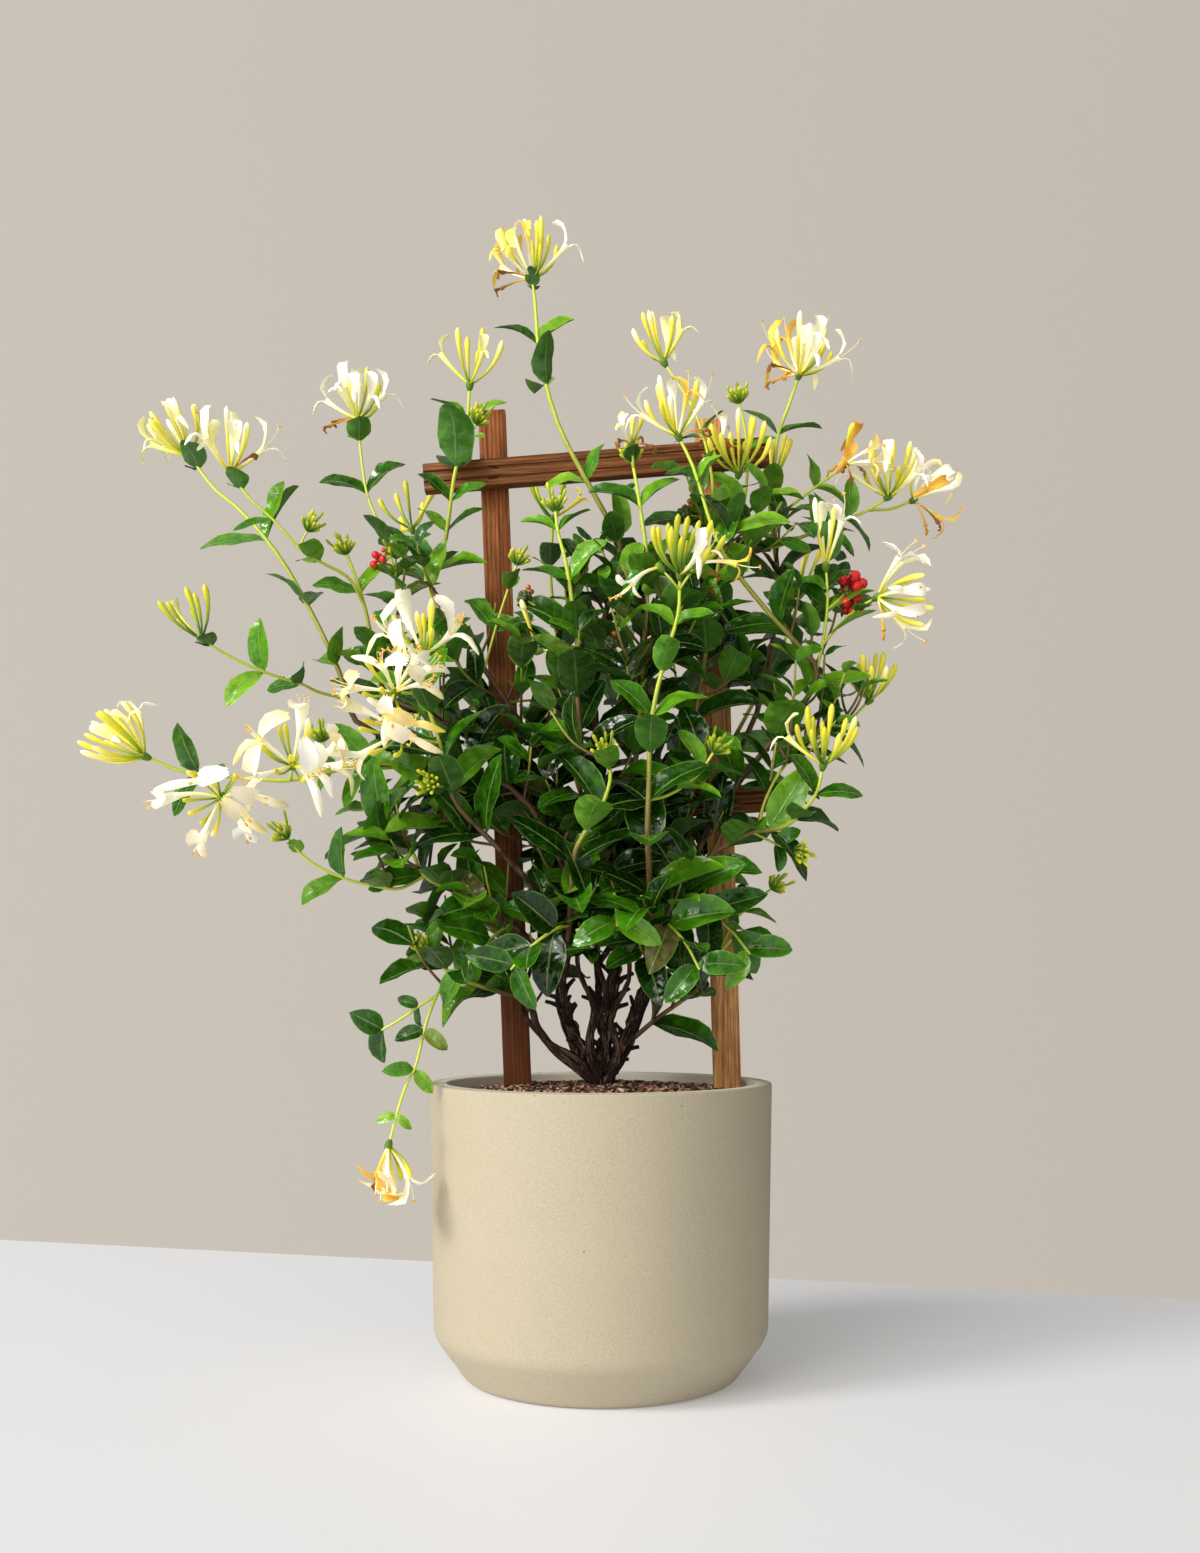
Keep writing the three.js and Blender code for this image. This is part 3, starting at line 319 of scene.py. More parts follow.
# The top of the rim and the upper inside of the wall are painted a pale sand colour: painted light on them,
# where the leaves hang over.
flat_place = object_place(pot_finish, (1, 1, 0))
from_middle = add_node("VectorMath", {"operation": "LENGTH"}, Vector=flat_place).outputs["Value"]
pot_level = add_node("SeparateXYZ", Vector=pot_place).outputs[2]
painted_rim_light = reckon(
    "MULTIPLY", stretch_range(from_middle, RIM_RADIUS - 0.0015, inner_radius + 0.004, 0.0, 0.9),
    stretch_range(pot_level, 0.10, 0.16))
feed_shader("Base Color", blend_colours(painted_rim_light, pits_painted_shade, (0.86, 0.81, 0.68, 1)))
add_bump(reckon("SUBTRACT", sand, reckon("MULTIPLY", pit_mark, 3.0)), 0.00025, 0.6)
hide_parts("pot")
finish_piece(pot, pot_finish, 30)

# ---------------------------------------------------------------- potting mix
# Dark composted bark fills the pot to just under its rim. Loose chips of bark, a few of them pale or red,
# lie all over its uneven top.

SOIL_EDGE = 0.223
SOIL_CROWN = 0.230
SOIL_GAP = 0.0008
SOIL_FLOOR = POT_FLOOR + 0.0004
CHIP_COUNT = 4600
CHIP_SIZES = [(0.0012, 0.0046), (0.0009, 0.0024), (0.0006, 0.0018)]
CHIP_LIFT = 0.0006


def soil_height(x, y):
    """How high the potting mix stands at a place, with the bumps that watering leaves."""
    share = min(1.0, math.hypot(x, y) / (inner_radius - 0.001))
    lumps = 0.0012 * math.sin(210 * x + 1.3) * math.cos(170 * y) + 0.0008 * math.sin(390 * x - 260 * y)
    return SOIL_CROWN + (SOIL_EDGE - SOIL_CROWN) * share ** 1.6 + lumps


soil_rings = [0.98, 0.93, 0.87, *(0.08 * ring for ring in range(10, 0, -1))]
soil_outline = [
    (0.05, SOIL_FLOOR),
    (FOOT_RADIUS - POT_WALL - 0.001, SOIL_FLOOR),
    (inner_radius - POT_DRAFT - SOIL_GAP, CHAMFER_HEIGHT + 0.008),
    (inner_radius - SOIL_GAP, SOIL_EDGE),
    *[(ring * (inner_radius - SOIL_GAP), SOIL_CROWN) for ring in soil_rings],
]
soil = turn_on_wheel("potting_mix", soil_outline, 96)
for spot in soil.data.vertices:
    if spot.co.z > SOIL_EDGE - 0.0001:
        spot.co.z = soil_height(spot.co.x, spot.co.y)
soil_finish = new_finish("composted_bark", 0.95, Specular_IOR_Level=0.2)
soil_place = object_place(soil_finish)
crumbs = add_node("TexVoronoi", Vector=soil_place, Scale=330.0).outputs["Distance"]
soil_mix = reckon("ADD", reckon("MULTIPLY", crumbs, 0.8), noise(soil_place, 90.0, 5.0))
feed_shader("Base Color", colour_steps(soil_mix, [
    (0.35, (0.012, 0.006, 0.005)), (0.75, (0.095, 0.044, 0.026)), (1.0, (0.24, 0.12, 0.072))]))
add_bump(soil_mix, 0.0015)
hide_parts("soil")
finish_piece(soil, soil_finish, 60)


def read_shape(master):
    """Takes a modelled master apart into its points and faces, so that copies of it can be laid in place.

    A master's rows lie one apart, so a point's height is the number of its row.
    """
    mesh = master.data
    points = np.empty(3 * len(mesh.vertices))
    mesh.vertices.foreach_get("co", points)
    corners = np.empty(len(mesh.loops), np.int32)
    mesh.loops.foreach_get("vertex_index", corners)
    starts = np.empty(len(mesh.polygons), np.int32)
    mesh.polygons.foreach_get("loop_start", starts)
    bpy.data.objects.remove(master)
    points = points.reshape(-1, 3)
    return dict(points=points, row=np.rint(points[:, 2]).astype(int), corners=corners, starts=starts)


def join_copies(name, copies):
    """One mesh object made of many copies. Each copy is (shape, its points in place, its marks by name)."""
    points = np.concatenate([points for shape, points, marks in copies])
    firsts = np.cumsum([0] + [len(points) for shape, points, marks in copies])
    loops = np.cumsum([0] + [len(shape["corners"]) for shape, points, marks in copies])
    corners = np.concatenate([copy[0]["corners"] + first for copy, first in zip(copies, firsts)])
    starts = np.concatenate([copy[0]["starts"] + loop for copy, loop in zip(copies, loops)])
    mesh = bpy.data.meshes.new(name)
    mesh.vertices.add(len(points))
    mesh.vertices.foreach_set("co", points.ravel())
    mesh.loops.add(len(corners))
    mesh.loops.foreach_set("vertex_index", corners.astype(np.int32))
    mesh.polygons.add(len(starts))
    mesh.polygons.foreach_set("loop_start", starts.astype(np.int32))
    mesh.update(calc_edges=True)
    for mark in copies[0][2]:
        values = [np.broadcast_to(marks[mark], len(points)) for shape, points, marks in copies]
        attribute = mesh.attributes.new(mark, "FLOAT", "POINT")
        attribute.data.foreach_set("value", np.concatenate(values).astype(np.float32))
    piece = bpy.data.objects.new(name, mesh)
    bpy.context.scene.collection.objects.link(piece)
    return piece


def read_mark(finish, name):
    return add_node("Attribute", {"attribute_name": name}, finish.node_tree).outputs["Fac"]


def uneven_mark(finish, name, cloud, amount):
    """A mark that a cloud makes higher here and lower there, by half the given amount."""
    return reckon("ADD", read_mark(finish, name), reckon("MULTIPLY_ADD", cloud, amount, -amount / 2))


bpy.ops.mesh.primitive_cube_add(size=1)
bpy.ops.object.mode_set(mode="EDIT")
bpy.ops.mesh.bisect(plane_co=(0.16, 0, 0), plane_no=(1, 0.25, 0))
bpy.ops.mesh.select_all(action="SELECT")
bpy.ops.transform.vertex_random(offset=0.22, seed=3)
bpy.ops.object.mode_set(mode="OBJECT")
chip_shape = read_shape(bpy.context.object)

luck = np.random.default_rng(11)
chips = []
for chip in range(CHIP_COUNT):
    reach = (inner_radius - 0.005) * math.sqrt(luck.random())
    around = luck.uniform(0, 2 * math.pi)
    x, y = reach * math.cos(around), reach * math.sin(around)
    size = Vector([luck.uniform(*sizes) for sizes in CHIP_SIZES])
    turn = Matrix.Rotation(luck.uniform(0, 6.28), 3, "Z")
    turn = turn @ Matrix.Rotation(luck.normal(0, 0.35), 3, "X")
    turn = turn @ Matrix.Rotation(luck.normal(0, 0.3), 3, "Y")
    lie = np.array(turn @ Matrix.Diagonal(size))
    place = np.array((x, y, soil_height(x, y) + CHIP_LIFT))
    chips.append((chip_shape, chip_shape["points"] @ lie.T + place, {"shade": luck.random()}))
soil_chips = join_copies("bark_chips", chips)
chip_finish = new_finish("bark_chip", 0.85, Specular_IOR_Level=0.25)
chip_fibre = noise(object_place(chip_finish), 900.0, 3.0)
feed_shader("Base Color", colour_steps(uneven_mark(chip_finish, "shade", chip_fibre, 0.4), [
    (0.0, (0.010, 0.006, 0.005)), (0.40, (0.085, 0.040, 0.026)), (0.7, (0.36, 0.17, 0.105)),
    (0.95, (0.72, 0.50, 0.34))]))
add_bump(chip_fibre, 0.0004)
finish_piece(soil_chips, chip_finish, 20)

# ---------------------------------------------------------------- trellis
# Four sawn softwood laths, stained red-brown: two uprights pushed into the potting mix, and two crossbars
# stapled across their front faces. The crossbars were sawn from grooved boards and keep the grooves.

LATH_WIDTH = 0.022
LATH_THICKNESS = 0.012
LATH_EDGE = 0.0005
UPRIGHT_BACK = 0.0323
UPRIGHT_DEPTH = 0.050
CROSSBAR_BACK = 0.020
GROOVE_DEPTH = 0.0016
GROOVES = [(-0.0050, -0.0036), (0.0034, 0.0050)]


def stained_wood(name, turn, shift, ring_width, wander, dark, pale, low_shade=0.0):
    """Stained softwood whose growth rings run along the lath, which is turned in the upright plane.

    A lath can be painted darker from the potting mix upwards: painted shade of the bush over it.
    """
    finish = new_finish(name, 0.62, Specular_IOR_Level=0.22)
    along = object_place(finish, turn=(0, turn, 0), shift=shift)

    def drawn(stretch):
        return add_node("Mapping", Vector=along, Scale=(stretch, 1, 1)).outputs[0]

    def shaded(amounts):
        return (*(part * amount for part, amount in zip(dark, amounts)), 1)

    wave = noise(drawn(0.05), 95.0, 3.0, 0.6)
    parts = add_node("SeparateXYZ", Vector=along)
    across = reckon("ADD", parts.outputs[2], reckon("MULTIPLY", parts.outputs[1], 0.6))
    swayed = reckon("ADD", reckon("DIVIDE", across, ring_width), reckon("MULTIPLY", wave, wander))
    rings = reckon("PINGPONG", swayed, 0.5)
    grain = noise(drawn(0.022), 520.0, 4.0, 0.7)
    late_wood = reckon("ADD", stretch_range(rings, 0.05, 0.45, 0.0, 0.55),
                       stretch_range(grain, 0.32, 0.68, -0.15, 0.70))
    fibre = noise(drawn(0.035), 1500.0, 3.0, 0.65)
    stain = noise(drawn(0.3), 60.0, 4.0)
    ringed = blend_colours(late_wood, (*dark, 1), (*pale, 1))
    streaked = blend_colours(stretch_range(fibre, 0.35, 0.6, 0.65, 0.0), ringed, shaded((0.45, 0.4, 0.4)))
    mottled = blend_colours(stretch_range(stain, 0.5, 0.8, 0.0, 0.6), streaked, shaded((0.6, 0.55, 0.5)))
    # Painted shade: darker from the potting mix at 0.27 m, fading out by 0.58 m.
    height = add_node("SeparateXYZ", Vector=object_place(finish)).outputs[2]
    painted_low_shade = blend_colours(stretch_range(height, 0.27, 0.58, low_shade, 0.0), mottled, shaded((0.5, 0.6, 0.8)))
    feed_shader("Base Color", painted_low_shade)
    add_bump(reckon("ADD", reckon("MULTIPLY", fibre, 0.5), late_wood), 0.0003, 0.6)
    return finish


def lath_turn(start, end):
    return math.atan2(end[1] - start[1], end[0] - start[0])


def saw_lath(name, start, end, back, finish, grooves=()):
    """A lath between two points (x, z), with its back face at the given depth, in its place."""
    bpy.ops.mesh.primitive_cube_add(size=1)
    lath = bpy.context.object
    lath.name = name
    lath.scale = (math.hypot(end[0] - start[0], end[1] - start[1]), LATH_THICKNESS, LATH_WIDTH)
    bpy.ops.object.transform_apply(location=False, rotation=False, scale=True)
    bpy.ops.object.mode_set(mode="EDIT")
    for edge in [edge for groove in grooves for edge in groove]:
        bpy.ops.mesh.select_all(action="SELECT")
        bpy.ops.mesh.bisect(plane_co=(0, 0, edge), plane_no=(0, 0, 1))
    bpy.ops.object.mode_set(mode="OBJECT")
    for low, high in grooves:
        for face in lath.data.polygons:
            face.select = face.normal.y < -0.9 and low < face.center.z < high
        for edge in lath.data.edges:
            edge.select = False
        for spot in lath.data.vertices:
            spot.select = False
        bpy.ops.object.mode_set(mode="EDIT")
        bpy.ops.mesh.select_mode(type="FACE")
        bpy.ops.mesh.extrude_region_move(TRANSFORM_OT_translate={"value": (0, GROOVE_DEPTH, 0)})
        bpy.ops.transform.resize(value=(1, 1, 0.5))
        bpy.ops.mesh.select_mode(type="VERT")
        bpy.ops.object.mode_set(mode="OBJECT")
    edges = lath.modifiers.new("edges", "BEVEL")
    edges.width = LATH_EDGE
    edges.segments = 2
    edges.limit_method = "ANGLE"
    edges.angle_limit = math.radians(50)
    bpy.ops.object.modifier_apply(modifier="edges")
    lath.rotation_euler.y = -lath_turn(start, end)
    lath.location = ((start[0] + end[0]) / 2, back - LATH_THICKNESS / 2, (start[1] + end[1]) / 2)
    bpy.ops.object.transform_apply(location=True, rotation=True, scale=False)
    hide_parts(name.replace("_lath", ""))
    finish_piece(lath, finish, 35)


def upright_ends(foot, top, height):
    """The two ends of an upright that leans from its foot at the soil to its top."""
    slope = (top - foot) / (height - SOIL_CROWN)
    return (foot - slope * UPRIGHT_DEPTH, SOIL_CROWN - UPRIGHT_DEPTH), (top, height)


left_ends = upright_ends(-0.068, -0.089, 0.778)
right_ends = upright_ends(0.103, 0.088, 0.771)
top_ends = (-0.143, 0.719), (0.135, 0.741)
lower_ends = (-0.150, 0.444), (0.140, 0.462)

# The left upright is painted darker low down, as painted shade of the bush.
left_wood = stained_wood("left_upright_wood", lath_turn(*left_ends), (0.3, 0.1, 0.0), 0.0037, 2.4,
                         (0.165, 0.042, 0.010), (0.54, 0.185, 0.046), 0.72)
# The right upright is painted a much paler stain than the left one: painted light on it.
right_wood_painted_pale = stained_wood("right_upright_wood", lath_turn(*right_ends), (0.9, 0.4, 0.2), 0.0068, 4.6,
                          (0.42, 0.150, 0.044), (0.96, 0.52, 0.19))
top_wood = stained_wood("top_crossbar_wood", lath_turn(*top_ends), (0.0, 0.7, 0.4), 0.0052, 3.6,
                        (0.080, 0.023, 0.006), (0.40, 0.145, 0.038))
lower_wood = stained_wood("lower_crossbar_wood", lath_turn(*lower_ends), (0.5, 0.2, 0.6), 0.0048, 3.2,
                          (0.070, 0.020, 0.006), (0.30, 0.100, 0.028))
saw_lath("left_upright_lath", *left_ends, UPRIGHT_BACK, left_wood)
saw_lath("right_upright_lath", *right_ends, UPRIGHT_BACK, right_wood_painted_pale)
saw_lath("top_crossbar_lath", *top_ends, CROSSBAR_BACK, top_wood, GROOVES)
saw_lath("lower_crossbar_lath", *lower_ends, CROSSBAR_BACK, lower_wood, GROOVES)

# ---------------------------------------------------------------- staples
# Two wire staples hold each crossbar to each upright. Their blackened crowns lie flat on the wood.

STAPLE_WIDTH = 0.0085
STAPLE_WIRE = 0.0006
STAPLE_LEG = 0.0016
# The two staples of a joint: how far each is from the joint's middle, and its tilt.
STAPLE_PAIR = [(0.0042, 14), (-0.0046, -9)]
STAPLE_PLACES = [(-0.0868, 0.7232), (0.0892, 0.7372), (-0.0760, 0.4484), (0.0975, 0.4592)]

bpy.ops.mesh.primitive_cylinder_add(
    vertices=8, radius=STAPLE_WIRE, depth=STAPLE_WIDTH, rotation=(0, math.pi / 2, 0))
bpy.ops.object.transform_apply(location=False, rotation=True, scale=False)
bpy.ops.object.mode_set(mode="EDIT")
for cut_place in (-0.4, 0.4):
    bpy.ops.mesh.select_all(action="SELECT")
    bpy.ops.mesh.bisect(plane_co=(cut_place * STAPLE_WIDTH, 0, 0), plane_no=(1, 0, 0))
bpy.ops.object.mode_set(mode="OBJECT")
for spot in bpy.context.object.data.vertices:
    if abs(spot.co.x) > 0.45 * STAPLE_WIDTH:
        spot.co.y += STAPLE_LEG
staple_shape = read_shape(bpy.context.object)
staples = []
for number, (x, z) in enumerate(STAPLE_PLACES):
    for upper, tilt in STAPLE_PAIR:
        turn = np.array(Matrix.Rotation(math.radians(tilt + 7 * number), 3, "Y"))
        crown = CROSSBAR_BACK - LATH_THICKNESS - 0.4 * STAPLE_WIRE
        place = np.array((x + 0.001 * number, crown, z + upper))
        staples.append((staple_shape, staple_shape["points"] @ turn.T + place, {"wear": 0.1 * number}))
staple_piece = join_copies("wire_staples", staples)
staple_finish = new_finish("blackened_wire", 0.45, Metallic=0.8)
staple_rust = noise(object_place(staple_finish), 700.0)
feed_shader("Base Color", blend_colours(staple_rust, (0.015, 0.013, 0.012, 1), (0.07, 0.03, 0.015, 1)))
finish_piece(staple_piece, staple_finish, 30)

# ---------------------------------------------------------------- woody stems
# The vine stands on one short trunk that divides into dark, gnarled old stems. They are brown wood up to
# where their green shoots begin, with fibrous peeling bark and the stubs of shoots that were pruned.

MM = 0.001
UP = np.array((0.0, 0.0, 1.0))
FRONT = np.array((0.0, -1.0, 0.0))
TIP_RADIUS = 1.3
GREEN_SHARE = 0.85
STUB_COUNT = 44

limbs = [
    dict(thick=8, thin=5, points=[(0, 0, 226), (-13, -9, 255), (-26, -18, 285), (-31, -22, 312)]),
    dict(thick=9, thin=6, points=[(0, 0, 226), (3, 0, 262), (8, -2, 296), (14, -6, 334)]),
    dict(thick=8, thin=5, points=[(2, 0, 226), (15, -3, 258), (28, -8, 289), (39, -12, 320)]),
    dict(thick=7, thin=4.5, points=[(1, 3, 226), (4, 20, 253), (-1, 42, 289), (-3, 55, 327)]),
]


def head(name, buds, opened, size, spread, lean, droop=0):
    """A flower head: its buds and open florets, their length, how far they spread, and the way it looks."""
    return dict(name=name, buds=buds, open=opened, size=size, spread=spread, lean=lean, droop=droop)


def side_shoot(points, pairs, **tip):
    """A shoot through its points, with its leaf pairs: (place, leaf length, turn, broad or not).

    At its tip it has a "bloom", a number of young "buds" or a number of "berries".
    """
    return dict(points=points, pairs=pairs, **tip)


def vine_stem(name, bark, thick, points, pairs, *sides, **tip):
    """A stem from which sides fork. It is brown wood as far as point "bark" and a green shoot beyond it."""
    return dict(side_shoot(points, pairs, **tip), name=name, bark=bark, thick=thick, sides=sides)


stems = [
    vine_stem(
        "low_left", 4, 4.5,
        [(0, 0, 228), (-17, -12, 243), (-36, -20, 259), (-50, -22, 277), (-57, -21, 297), (-75, -30, 304),
         (-88, -38, 308), (-113, -45, 317), (-126, -48, 329), (-134, -50, 337)],
        [(5.2, 44, 60), (6.3, 46, 0), (7.4, 55, 80), (8.3, 34, 0)],
        side_shoot(
            [(-101, -42, 313), (-122, -50, 308), (-128, -54, 297), (-134, -62, 277), (-140, -70, 249),
             (-147, -74, 234), (-153, -78, 214), (-158, -80, 194)],
            [(3, 26, 0), (4.1, 26, 20), (6, 18, 0)],
            bloom=head("trailing_bloom", 2, 3, 39, 50, (0.1, -0.2, -1), 0.4)),
        side_shoot(
            [(-126, -52, 302), (-134, -50, 298), (-153, -46, 285), (-172, -44, 274)],
            [(1.3, 18, 10), (2.8, 30, 20, True)]),
        buds=4),
    vine_stem(
        "mid_left", 2, 3,
        [(-31, -22, 310), (-44, -30, 334), (-63, -38, 353), (-86, -45, 370), (-112, -50, 382),
         (-135, -54, 394), (-143, -56, 410), (-152, -58, 430)],
        [(3.3, 55, 0), (4.2, 55, 80), (5, 48, 20), (6.2, 46, 0)],
        side_shoot(
            [(-70, -40, 358), (-84, -56, 346), (-98, -70, 330), (-108, -80, 312)],
            [(1, 52, 20), (2.4, 44, 100)]),
        side_shoot(
            [(-135, -54, 394), (-154, -58, 384), (-173, -62, 386), (-194, -68, 391), (-221, -74, 405),
             (-235, -78, 421)],
            [(1.4, 40, 80), (3, 42, 10), (4.3, 22, 90)], buds=3)),
    vine_stem(
        "far_left", 2, 3.2,
        [(-31, -22, 310), (-22, -45, 360), (-31, -58, 406), (-62, -62, 455), (-100, -64, 472),
         (-130, -66, 475), (-173, -70, 477), (-201, -74, 472), (-233, -78, 464), (-285, -84, 467),
         (-313, -90, 470), (-333, -96, 478)],
        [(3.2, 59, 150), (4, 57, 70), (5, 55, 160), (6, 44, 20), (7, 34, 70), (8.9, 34, 100),
         (9.5, 40, 10)],
        side_shoot(
            [(-233, -78, 464), (-230, -90, 466), (-227, -100, 470)], [],
            bloom=head("left_bloom_high", 1, 5, 50, 80, (0.1, -0.8, 0.5), 0.3)),
        side_shoot(
            [(-272, -83, 466), (-275, -92, 460), (-278, -100, 451)], [],
            bloom=head("left_bloom_low", 1, 4, 50, 85, (0, -0.9, -0.1), 0.6)),
        bloom=head("far_left_bloom", 7, 1, 54, 62, (-0.9, -0.25, 0.55))),
    vine_stem(
        "front_left", 2, 3,
        [(-31, -22, 310), (-46, -65, 375), (-75, -85, 411), (-108, -95, 446), (-114, -98, 469),
         (-120, -102, 494), (-129, -104, 523), (-130, -104, 549)],
        [(2.3, 63, 20), (3.2, 59, 110), (4.3, 55, 10), (5.5, 42, 90)],
        side_shoot(
            [(-129, -104, 523), (-137, -112, 523), (-146, -121, 522)], [],
            bloom=head("white_bloom_mid", 0, 4, 45, 85, (0.1, -0.9, 0.2), 0.3)),
        side_shoot(
            [(-118, -101, 488), (-131, -108, 490), (-143, -114, 492)], [],
            bloom=head("white_bloom_low", 1, 3, 45, 80, (-0.5, -0.8, 0.1), 0.4)),
        side_shoot([(-112, -97, 458), (-117, -104, 456), (-122, -112, 457)], [], buds=4),
        bloom=head("white_bloom_high", 2, 4, 45, 80, (-0.1, -0.6, 0.8))),
    vine_stem(
        "front_mid", 1, 3,
        [(-31, -22, 310), (-25, -60, 345), (-22, -85, 381), (-19, -95, 409), (-12, -98, 423),
         (-1, -100, 439), (7, -102, 463), (4, -104, 479)],
        [(1.7, 63, 80), (2.7, 63, 0), (4, 59, 90), (5, 55, 10), (6.3, 38, 90)],
        side_shoot(
            [(-24, -68, 356), (-34, -88, 352), (-50, -100, 340), (-66, -108, 322)],
            [(1, 54, 20), (2, 50, 100), (2.8, 38, 0)]),
        buds=4),
    vine_stem(
        "fan", 3, 3.4,
        [(14, -6, 334), (-12, -2, 378), (-60, -4, 430), (-119, -12, 486), (-191, -25, 516),
         (-198, -26, 534), (-207, -24, 560), (-231, -16, 609), (-258, -4, 654), (-290, 8, 692),
         (-313, 14, 712), (-332, 20, 737)],
        [(3.5, 55, 80), (6, 40, 60), (7, 44, 110), (8.3, 58, 0), (10.7, 28, 80, True)],
        side_shoot(
            [(-198, -26, 534), (-220, -38, 538), (-230, -46, 542), (-255, -62, 548), (-282, -76, 559),
             (-295, -82, 567)],
            [(2, 36, 70), (3, 44, 0), (4.7, 20, 80, True)],
            bloom=head("fan_bloom_low", 3, 1, 48, 55, (-0.4, -0.2, 0.9))),
        bloom=head("fan_bloom_left", 5, 2, 50, 60, (-0.5, -0.2, 0.9))),
    vine_stem(
        "inner_left", 3, 3.2,
        [(14, -6, 334), (-14, -14, 392), (-56, -20, 462), (-120, -16, 516), (-171, -6, 543),
         (-182, -8, 584), (-188, -10, 612), (-196, -14, 638), (-201, -16, 651)],
        [(3.5, 57, 20), (4.5, 48, 100), (6.3, 42, 0)],
        side_shoot(
            [(-177, -7, 565), (-162, 6, 612), (-170, 18, 655), (-183, 28, 690), (-192, 34, 713),
             (-198, 38, 749), (-200, 40, 773)],
            [(1, 44, 20), (2.3, 36, 100), (4, 43, 0), (5.4, 28, 80, True)],
            bloom=head("inner_bloom_top", 2, 4, 48, 75, (-0.05, -0.2, 1))),
        side_shoot(
            [(-188, -10, 612), (-199, -20, 631), (-219, -28, 641), (-234, -34, 650), (-254, -40, 671),
             (-270, -44, 685), (-283, -46, 701)],
            [(2, 34, 80), (4, 32, 0), (5.5, 24, 80, True)],
            bloom=head("fan_bloom_right", 4, 3, 50, 60, (0.05, -0.2, 1))),
        buds=4),
    vine_stem(
        "upper_left", 2, 3,
        [(14, -6, 334), (2, -18, 392), (-34, -24, 470), (-92, -16, 560), (-136, -10, 631),
         (-124, -10, 661), (-120, -12, 686), (-115, -14, 718), (-107, -14, 745), (-104, -14, 781)],
        [(2.4, 59, 10), (3.2, 57, 100), (4.2, 46, 10), (5.3, 38, 20), (6.2, 36, 0), (7, 61, 100),
         (8.4, 34, 0)],
        bloom=head("upper_left_bloom", 4, 2, 50, 62, (0.05, -0.15, 1))),
    vine_stem(
        "top", 2, 3.4,
        [(14, -6, 334), (9, -10, 394), (-1, -18, 472), (-5, -22, 542), (2, -24, 597), (16, -25, 648),
         (-3, -27, 690), (-22, -27, 725), (-35, -24, 754), (-47, -14, 800), (-50, -8, 819), (-53, 4, 860),
         (-55, 8, 875)],
        [(2.5, 61, 0), (3.3, 59, 90), (4.2, 55, 10), (5.2, 42, 90), (6.4, 38, 0), (8.6, 44, 75),
         (10, 44, 0), (11.8, 18, 90, True)],
        bloom=head("top_bloom", 4, 3, 52, 72, (-0.15, -0.2, 1))),
    vine_stem(
        "centre", 1, 3,
        [(14, -6, 334), (-1, -30, 392), (-12, -48, 468), (-18, -52, 529), (-18, -54, 573),
         (-21, -54, 597), (-24, -54, 618), (-28, -53, 639), (-33, -52, 658), (-35, -50, 675)],
        [(1.5, 63, 90), (2.2, 63, 0), (3, 59, 90), (4, 57, 10), (6, 46, 15), (8, 32, 0)],
        side_shoot(
            [(-2, -32, 400), (6, -60, 396), (10, -84, 380), (12, -100, 354)],
            [(1, 54, 0), (2, 52, 80), (2.8, 40, 0)]),
        buds=4),
    vine_stem(
        "middle", 1, 3,
        [(14, -6, 334), (19, -20, 393), (24, -38, 462), (29, -46, 503), (31, -48, 537), (35, -50, 598),
         (35, -50, 642), (31, -50, 671), (28, -48, 692), (24, -46, 715)],
        [(1.6, 63, 20), (2.6, 61, 110), (4, 59, 20), (5.3, 50, 100), (7.3, 42, 0), (8.9, 20, 80, True)],
        buds=3),
    vine_stem(
        "low_right", 1, 2.6,
        [(14, -2, 258), (28, -12, 270), (43, -18, 283), (68, -22, 301), (76, -24, 307), (89, -26, 330),
         (106, -28, 351)],
        [(1.7, 59, 0), (2.8, 46, 80), (4.4, 40, 10), (5.9, 36, 0)],
        side_shoot(
            [(89, -26, 330), (106, -14, 362), (120, -8, 374), (136, -6, 387)], [(1.5, 30, 20)], buds=4)),
    vine_stem(
        "front", 1, 3,
        [(39, -12, 318), (37, -55, 352), (36, -92, 388), (34, -112, 420), (35, -114, 460),
         (36, -114, 496), (41, -112, 526), (49, -106, 556), (57, -100, 585), (58, -98, 609)],
        [(1.7, 63, 0), (2.7, 63, 90), (3.6, 59, 0), (4.5, 55, 90), (5.3, 46, 0), (6.4, 40, 90),
         (7.6, 34, 10)],
        side_shoot(
            [(37, -64, 361), (50, -84, 356), (62, -98, 342), (72, -108, 322)],
            [(1, 54, 20), (2, 50, 100), (2.8, 38, 0)]),
        side_shoot(
            [(34, -113, 445), (50, -108, 450), (71, -102, 465), (83, -100, 482)],
            [(1.2, 40, 80), (2.2, 36, 0)], buds=4),
        bloom=head("front_bloom", 6, 1, 50, 66, (0.2, -0.4, 0.9))),
    vine_stem(
        "right_mid", 1, 3,
        [(39, -12, 318), (51, -15, 377), (62, -18, 456), (78, -20, 542), (88, -20, 612), (93, -22, 644),
         (97, -24, 670), (101, -24, 687), (107, -24, 708)],
        [(1.5, 63, 10), (2.1, 61, 100), (2.7, 59, 10), (3.4, 55, 100), (4.2, 46, 10), (5.4, 42, 90),
         (7.4, 26, 10, True)],
        side_shoot(
            [(93, -22, 644), (111, -4, 681), (117, -3, 722), (115, -4, 753), (110, -6, 774)],
            [(1, 38, 30), (2.4, 28, 0)], buds=4),
        bloom=head("right_club_bloom", 7, 0, 50, 66, (-0.05, -0.3, 1))),
    vine_stem(
        "arch", 2, 3.2,
        [(39, -12, 318), (62, -20, 377), (89, -28, 443), (131, -35, 497), (163, -40, 537),
         (167, -42, 555), (151, -50, 572), (132, -58, 590), (115, -64, 608), (100, -70, 625),
